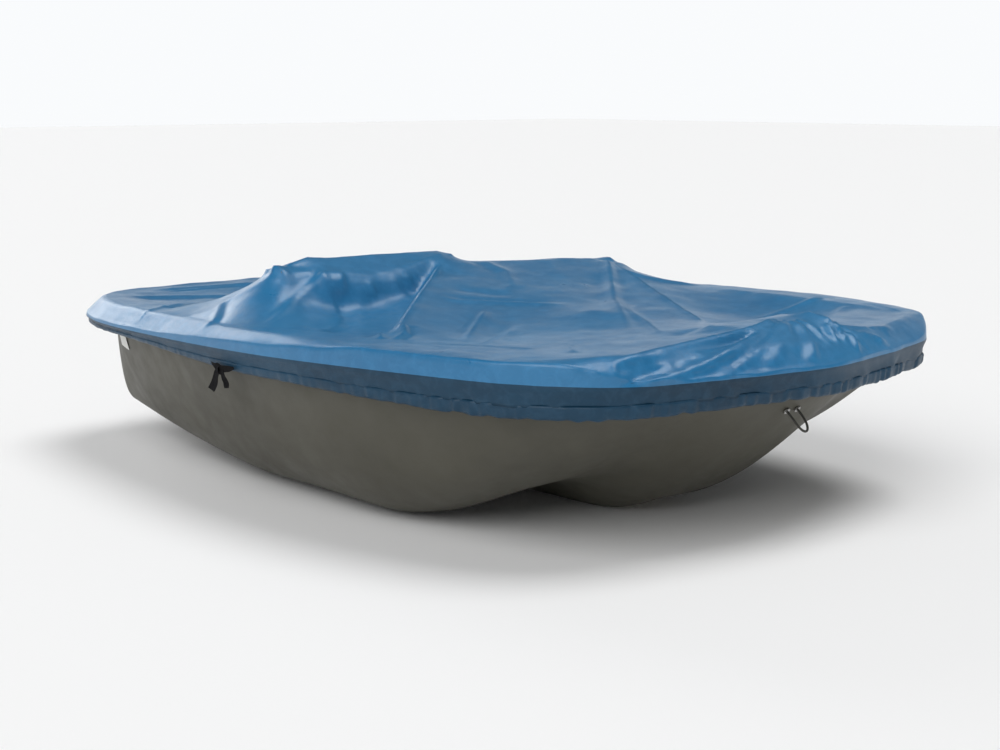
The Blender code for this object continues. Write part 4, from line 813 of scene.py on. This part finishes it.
    ([(0.000, 0.470, 0.528), (-0.060, 0.620, 0.480), (-0.120, 0.710, 0.450)], 0.0070, 0.0160, dict(t0=0.05, t1=0.3)),
    ([(-0.120, 0.420, 0.520), (-0.350, 0.540, 0.470), (-0.600, 0.600, 0.440)], 0.0060, 0.0200, dict(t0=0.1, t1=0.4)),
    ([(0.720, 0.620, 0.452), (0.780, 0.480, 0.446), (0.860, 0.300, 0.458)], 0.0040, 0.0160, dict(t0=0.1, t1=0.3)),
]

# rings of the rim, from the crest of the gunwale out to the joint, down and in under it
U, V = np.linspace(0, 1, NU + 1), np.linspace(0, 1, NV + 1)
side_s = S_CORNER_STERN + (S_CORNER_BOW - S_CORNER_STERN) * U
end_a = np.abs(V - 0.5) * 2
end_g = np.where(V > 0.5, 1.0, -1.0)
stern_s, bow_s = 1 - (1 - S_CORNER_STERN) * end_a, S_CORNER_BOW * end_a
gi = np.arange((NU + 1) * (NV + 1)).reshape(NU + 1, NV + 1)
RIM = np.concatenate([gi[0, :], gi[1:, -1], gi[-1, -2::-1], gi[-2:0:-1, 0]])
RS = np.concatenate([stern_s, side_s[1:], bow_s[-2::-1], side_s[-2:0:-1]])
RG = np.concatenate([end_g, np.ones(NU), end_g[-2::-1], -np.ones(NU - 1)])
rp = edge(RS, 0.0, RG)
arc = np.concatenate([[0], np.cumsum(np.hypot(*np.diff(rp, axis=0).T))])
PERIM = arc[-1] + np.hypot(*(rp[0] - rp[-1]))
RX, RY = rp[:, 0], rp[:, 1]


def hem_depth(x):
    return 0.022 + 0.030 * sm(-0.75, 0.15, x) + 0.018 * sm(0.1, 0.75, x) - 0.006 * sm(0.95, 1.1, x)


def shoulder(x, y):
    """Height over the joint of the outer crease, under which the sheet stands upright."""
    return 0.011 + 0.020 * sm(-0.55, 0.10, x) + 0.018 * sm(0.10, 0.50, x) - 0.039 * sm(0.93, 1.07, x)


def rim_noise(arc_, seed, wl):
    val_n = max(8, int(PERIM / wl))
    val = np.random.RandomState(seed).uniform(-1, 1, val_n)
    t = (arc_ / PERIM * val_n) % val_n
    i = np.floor(t).astype(int)
    f = t - i
    f = f * f * (3 - 2 * f)
    return val[i % val_n] * (1 - f) + val[(i + 1) % val_n] * f


gather = 0.25 + 0.75 * sm(0.1, 0.75, RX)
slack = rim_noise(arc, 11, 0.060) * 0.5 + rim_noise(arc, 12, 0.034) * 0.5
D, TH = hem_depth(RX), shoulder(RX, RY)
up = sm(0.012, 0.047, TH)          # 0: slopes out to the joint; 1: level top and an upright band
rings = []
G0 = GRID.reshape(-1, 3)[RIM, 2] - lip_z(GRID.reshape(-1, 3)[RIM, 0])
for k in range(7):                 # level top to crease
    f = (k + 1) / 7
    inset = 0.045 + (-0.001 + 0.001 * up - 0.045) * f
    zz = G0 + (TH - G0) * (f ** (1.15 + 0.9 * up))
    floor_ = np.where(inset > 0.0285, 0.0402, np.where(inset > 0.0215, 0.0402 * (inset - 0.0215) / 0.007, 0.0))
    rings.append((inset, np.maximum(zz, floor_)))
for f in (0.12, 0.35, 0.65, 0.92):  # crease to the joint
    pull = np.interp((arc + 0.5 * TH * (f - 1) * np.sign(-RY + 0.3) * 1.6) % PERIM, arc, slack) * sm(0.30, 0.95, RX)
    rings.append((-0.0022 - 0.0030 * f ** 0.6 - 0.0034 * (0.15 + f) * (pull + 0.25 * sm(0.30, 0.95, RX)), TH * (1 - f)))
grid_rings = []
for inset, zz in rings:
    q = edge(RS, inset, RG)
    grid_rings.append(np.stack([q[:, 0], q[:, 1], lip_z(q[:, 0]) + zz], 1))
for inset, dz, ga in ((-0.0056, -0.05, 0.10), (-0.0042, -0.12, 0.2), (-0.0012, -0.24, 0.5), (0.0012, -0.38, 1.0), (0.0022, -0.52, 1.4), (0.0032, -0.64, 1.5)):
    off = 0.0044 * ga * gather * np.interp((arc + 0.35 * D * (-dz) * np.sign(-RY + 0.3) * 2.2) % PERIM, arc, slack)
    q = edge(RS, inset - off, RG)
    grid_rings.append(np.stack([q[:, 0], q[:, 1], lip_z(q[:, 0]) + D * dz], 1))
verts = [GRID.reshape(-1, 3)] + grid_rings
nv_ = len(verts[0])
a, b, c, d = gi[:-1, :-1], gi[1:, :-1], gi[1:, 1:], gi[:-1, 1:]
faces = np.stack([a.ravel(), b.ravel(), c.ravel(), d.ravel()], 1).tolist()
prev = RIM
for k in range(len(grid_rings)):
    cur = nv_ + k * len(RIM) + np.arange(len(RIM))
    faces += np.stack([prev, np.roll(prev, -1), np.roll(cur, -1), cur], 1).tolist()
    prev = cur
P = np.concatenate(verts)
me = bpy.data.meshes.new("cover_sheet")
me.from_pydata(P.tolist(), [], faces)
if sum(p.normal.z * p.area for p in me.polygons) < 0:
    me.flip_normals()
N = np.zeros(len(P) * 3)
me.vertices.foreach_get("normal", N)
N = N.reshape(-1, 3)
lift = np.zeros(len(P))
for f in FOLDS:
    lift += fold(P, N, *f[:3], **(f[3] if len(f) > 3 else {}))
top_side = sm(0.2, 0.6, N[:, 2])
lift += top_side * (0.0014 * value_noise(P[:, 0], P[:, 1], 3, 9) + 0.0009 * value_noise(P[:, 0], P[:, 1], 4, 22))
P = P + N * lift[:, None]
NG = NV + 1
P[:(NU + 1) * NG, 2] = np.maximum(P[:(NU + 1) * NG, 2], SUP.ravel() - 0.0012)
moved = np.where((np.abs(lift) > 0.0015) & (np.arange(len(P)) < (NU + 1) * NG))[0]
near_top = np.concatenate([moved, np.arange((NU + 1) * NG, (NU + 1) * NG + 7 * len(RIM))])
reach = np.full(len(near_top), -9.0)
for dx, dy in ((0, 0), (0.004, 0), (-0.004, 0), (0, 0.004), (0, -0.004)):
    reach = np.maximum(reach, under(P[near_top, 0] + dx, P[near_top, 1] + dy))
P[near_top, 2] = np.maximum(P[near_top, 2], reach + 0.0014)
me.vertices.foreach_set("co", P.ravel())
me.update()
me.shade_smooth()
me.materials.append(VINYL)
me.materials.append(PAINTED_SHADE_VINYL)
# painted shade: the cover's faces from the joint down and in under it take the darkened copy of the vinyl
painted_shade_from = NU * NV + 11 * len(RIM)
flags = np.zeros(len(me.polygons), int)
flags[painted_shade_from:] = 1
me.polygons.foreach_set("material_index", flags)
cover = bpy.data.objects.new("cover_sheet", me)
bpy.context.scene.collection.objects.link(cover)

# hem casing with its elastic
NH = 1800
ha = np.linspace(0, PERIM, NH, endpoint=False)
arc_c = np.append(arc, PERIM)
hs, hx, hy_ = np.interp(ha, arc_c, np.append(RS, RS[0])), np.interp(ha, arc_c, np.append(RX, RX[0])), np.interp(ha, arc_c, np.append(RY, RY[0]))
hg = np.where(hy_ >= 0, 1.0, -1.0)
Dh = hem_depth(hx)
gh = 0.25 + 0.75 * sm(0.1, 0.75, hx)
n1_, n2_, n3_ = rim_noise(ha, 11, 0.060) * 0.5 + rim_noise(ha, 12, 0.034) * 0.5, rim_noise(ha, 13, 0.014), rim_noise(ha, 14, 0.022)
hrows = []
for inset, dz, ga in [(0.0036, -0.56, 0.6), (0.0020, -0.60, 1), (0.0012, -0.66, 1), (0.0024, -0.76, 1.2), (0.0030, -0.86, 1.3), (0.0052, -0.95, 1.2), (0.0085, -1.0, 1.0), (0.0115, -0.97, 0.8), (0.0120, -0.86, 0.6), (0.0105, -0.72, 0.3)]:
    q = edge(hs, inset - (0.0024 * n1_ + 0.0026 * ga * n2_) * gh, hg)
    hrows.append(np.stack([q[:, 0], q[:, 1], lip_z(q[:, 0]) + Dh * dz + (0.0030 * ga * n3_ * gh if dz < -0.7 else 0)], 1))
# painted shade: the hem casing is drawn in the darkened copy of the cover vinyl
hem = sheet_mesh("cover_hem", np.stack(hrows, 1), PAINTED_SHADE_VINYL, closed_rows=True)
solidify(hem, 0.0010, 0)
apply_modifiers(hem)
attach(hem, "mooring_cover")

solidify(cover, 0.0010, -1)
apply_modifiers(cover)
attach(cover, "mooring_cover")
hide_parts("cover")

# ------------------------------------------------------------------ tie straps: flat webbing over the hem, knotted, with two tails
def ribbon(name, pts_, widths, across, thick=0.0013):
    """Flat strap along points; across gives the width's direction at each point."""
    q = np.array(pts_, float)
    n = len(q)
    t = np.linspace(0, n - 1, (n - 1) * 8 + 1)
    idx_ = np.clip(t.astype(int), 0, n - 2)
    f = (t - idx_)[:, None]
    ext = np.vstack([2 * q[0] - q[1], q, 2 * q[-1] - q[-2]])
    p0, p1, p2, p3 = ext[idx_], ext[idx_ + 1], ext[idx_ + 2], ext[idx_ + 3]
    c = 0.5 * (2 * p1 + (p2 - p0) * f + (2 * p0 - 5 * p1 + 4 * p2 - p3) * f ** 2 + (3 * p1 - p0 - 3 * p2 + p3) * f ** 3)
    w = np.interp(t, range(n), widths)[:, None]
    ac = np.stack([np.interp(t, range(n), np.array(across)[:, k]) for k in range(3)], 1)
    ac /= np.linalg.norm(ac, axis=1)[:, None]
    cols_ = np.linspace(-0.5, 0.5, 7)
    tang = np.gradient(c, axis=0)
    nrm = np.cross(tang, ac)
    nrm /= np.linalg.norm(nrm, axis=1)[:, None]
    grid = c[:, None] + ac[:, None] * w[:, None] * cols_[None, :, None] - nrm[:, None] * (np.abs(cols_) ** 2 * 0.004)[None, :, None] * (w[:, None] / 0.02)
    o = sheet_mesh(name, grid, WEB)
    solidify(o, thick, 0)
    b_ = o.modifiers.new("edge", "BEVEL")
    b_.width, b_.segments, b_.limit_method = 0.0004, 1, "ANGLE"
    apply_modifiers(o)
    return o


for sname, side in (("starboard", -1), ("port", 1)):
    s0 = share_at(-0.045)
    e_, t_ = edge(s0, -0.0108, side), edge(s0 + 0.02, -0.0108, side)
    al = Vector((t_[0] - e_[0], t_[1] - e_[1], 0)).normalized()      # towards the stern
    ou = Vector((al.y, -al.x, 0))
    if ou.y * side < 0:
        ou = -ou
    zb = float(lip_z(e_[0])) - float(hem_depth(e_[0])) + 0.006
    o0 = Vector((float(e_[0]), float(e_[1]), zb)) - ou * 0.0035
    Z = Vector((0, 0, 1))
    at = lambda a, h, o: tuple(o0 + al * a + Z * h + ou * o)
    bar = ribbon(f"strap_bar_{sname}", [at(-0.052, 0.006, 0.0), at(-0.030, 0.002, 0.0036), at(0.0, -0.001, 0.0052), at(0.030, 0.001, 0.0036), at(0.056, 0.006, 0.0)], [0.007, 0.016, 0.019, 0.017, 0.007], [tuple(Z + ou * 0.2)] * 5)
    knot = ribbon(f"strap_knot_{sname}", [at(0.004, 0.006, 0.0040), at(0.010, 0.007, 0.0092), at(0.013, -0.004, 0.0105), at(0.006, -0.012, 0.0080), at(-0.003, -0.010, 0.0052)], [0.013, 0.016, 0.016, 0.014, 0.010], [tuple(al + Z * 0.5)] * 5)
    long_ = ribbon(f"strap_tail_long_{sname}", [at(0.010, -0.004, 0.0058), at(0.020, -0.016, 0.0066), at(0.032, -0.032, 0.0030), at(0.043, -0.047, 0.0022), at(0.053, -0.060, 0.0038)], [0.014, 0.022, 0.027, 0.027, 0.029], [tuple(al * 0.80 + Z * 0.62), tuple(al * 0.76 + Z * 0.66), tuple(al * 0.80 + Z * 0.58), tuple(al * 0.86 + Z * 0.5), tuple(al * 0.95 + Z * 0.25)])
    short = ribbon(f"strap_tail_short_{sname}", [at(-0.004, -0.006, 0.0052), at(-0.012, -0.020, 0.0060), at(-0.018, -0.033, 0.0030), at(-0.022, -0.046, 0.0034)], [0.013, 0.018, 0.015, 0.020], [tuple(al * 0.95 - Z * 0.3), tuple(al * 0.9 - Z * 0.42), tuple(al * 0.85 + ou * 0.5), tuple(al * 0.9 - Z * 0.15)])
    for o, cad in ((bar, None), (knot, None), (long_, f"strap_tail_long_{sname}"), (short, f"strap_tail_short_{sname}")):
        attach(o, "mooring_cover")
        if cad:
            o.name = "webbing_" + cad
            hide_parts(cad)

# ------------------------------------------------------------------ floor and light
bm = bmesh.new()
bmesh.ops.create_grid(bm, x_segments=1, y_segments=1, size=40)
me = bpy.data.meshes.new("floor")
bm.to_mesh(me)
bm.free()
floor = bpy.data.objects.new("floor", me)
bpy.context.scene.collection.objects.link(floor)
floor.location.z = 0.0
fl = Mat("floor_pale", (0.86, 0.86, 0.86), 0.85)
fl.bump(fl.noise(60, 3), 0.0003, 0.3)
me.materials.append(fl.m)

world = bpy.data.worlds.new("studio")
bpy.context.scene.world = world
world.use_nodes = True
wt = world.node_tree
bg = wt.nodes["Background"]
wn = lambda kind: wt.nodes.new(kind)


def wmath(op, a, b=None):
    n = wn("ShaderNodeMath")
    n.operation = op
    for i, v in enumerate((a, b)):
        if hasattr(v, "is_linked"):
            wt.links.new(v, n.inputs[i])
        elif v is not None:
            n.inputs[i].default_value = v
    return n.outputs[0]


def wrange(v, lo, hi, to_lo, to_hi):
    n = wn("ShaderNodeMapRange")
    n.interpolation_type = "SMOOTHSTEP"
    wt.links.new(v, n.inputs[0])
    for i, k in enumerate((lo, hi, to_lo, to_hi)):
        if hasattr(k, "is_linked"):
            wt.links.new(k, n.inputs[i + 1])
        else:
            n.inputs[i + 1].default_value = k
    return n.outputs[0]


# white sweep round the studio at the floor's edge, high behind the port side, under a darker ceiling
sep = wn("ShaderNodeSeparateXYZ")
wt.links.new(wn("ShaderNodeTexCoord").outputs["Generated"], sep.inputs[0])
far = wrange(wmath("ADD", wmath("MULTIPLY", sep.outputs[0], -0.733), wmath("MULTIPLY", sep.outputs[1], 0.680)), -0.2, 0.7, 0.0, 1.0)
top_of_sweep = wmath("ADD", wmath("MULTIPLY", far, 0.04), 0.18)
level = wrange(sep.outputs[2], wmath("MULTIPLY", top_of_sweep, 0.55), wmath("MULTIPLY", top_of_sweep, 1.45), 0.98, 0.17)
wt.links.new(level, bg.inputs[1])
bg.inputs[0].default_value = (0.97, 0.985, 1.0, 1)


def sun(name, azimuth, elevation, strength, angle, color=(1, 1, 1)):
    d = bpy.data.lights.new(name, "SUN")
    d.energy, d.angle, d.color = strength, math.radians(angle), color
    o = bpy.data.objects.new(name, d)
    bpy.context.scene.collection.objects.link(o)
    az, el = math.radians(azimuth), math.radians(elevation)
    o.rotation_euler = Vector((-math.cos(el) * math.cos(az), -math.cos(el) * math.sin(az), -math.sin(el))).to_track_quat("-Z", "Y").to_euler()


sun("key", -72, 40, 2.0, 52)
sun("stern_box", 170, 20, 0.50, 26)
sun("over", 60, 70, 1.4, 34)
bpy.context.scene.view_settings.view_transform = "Standard"
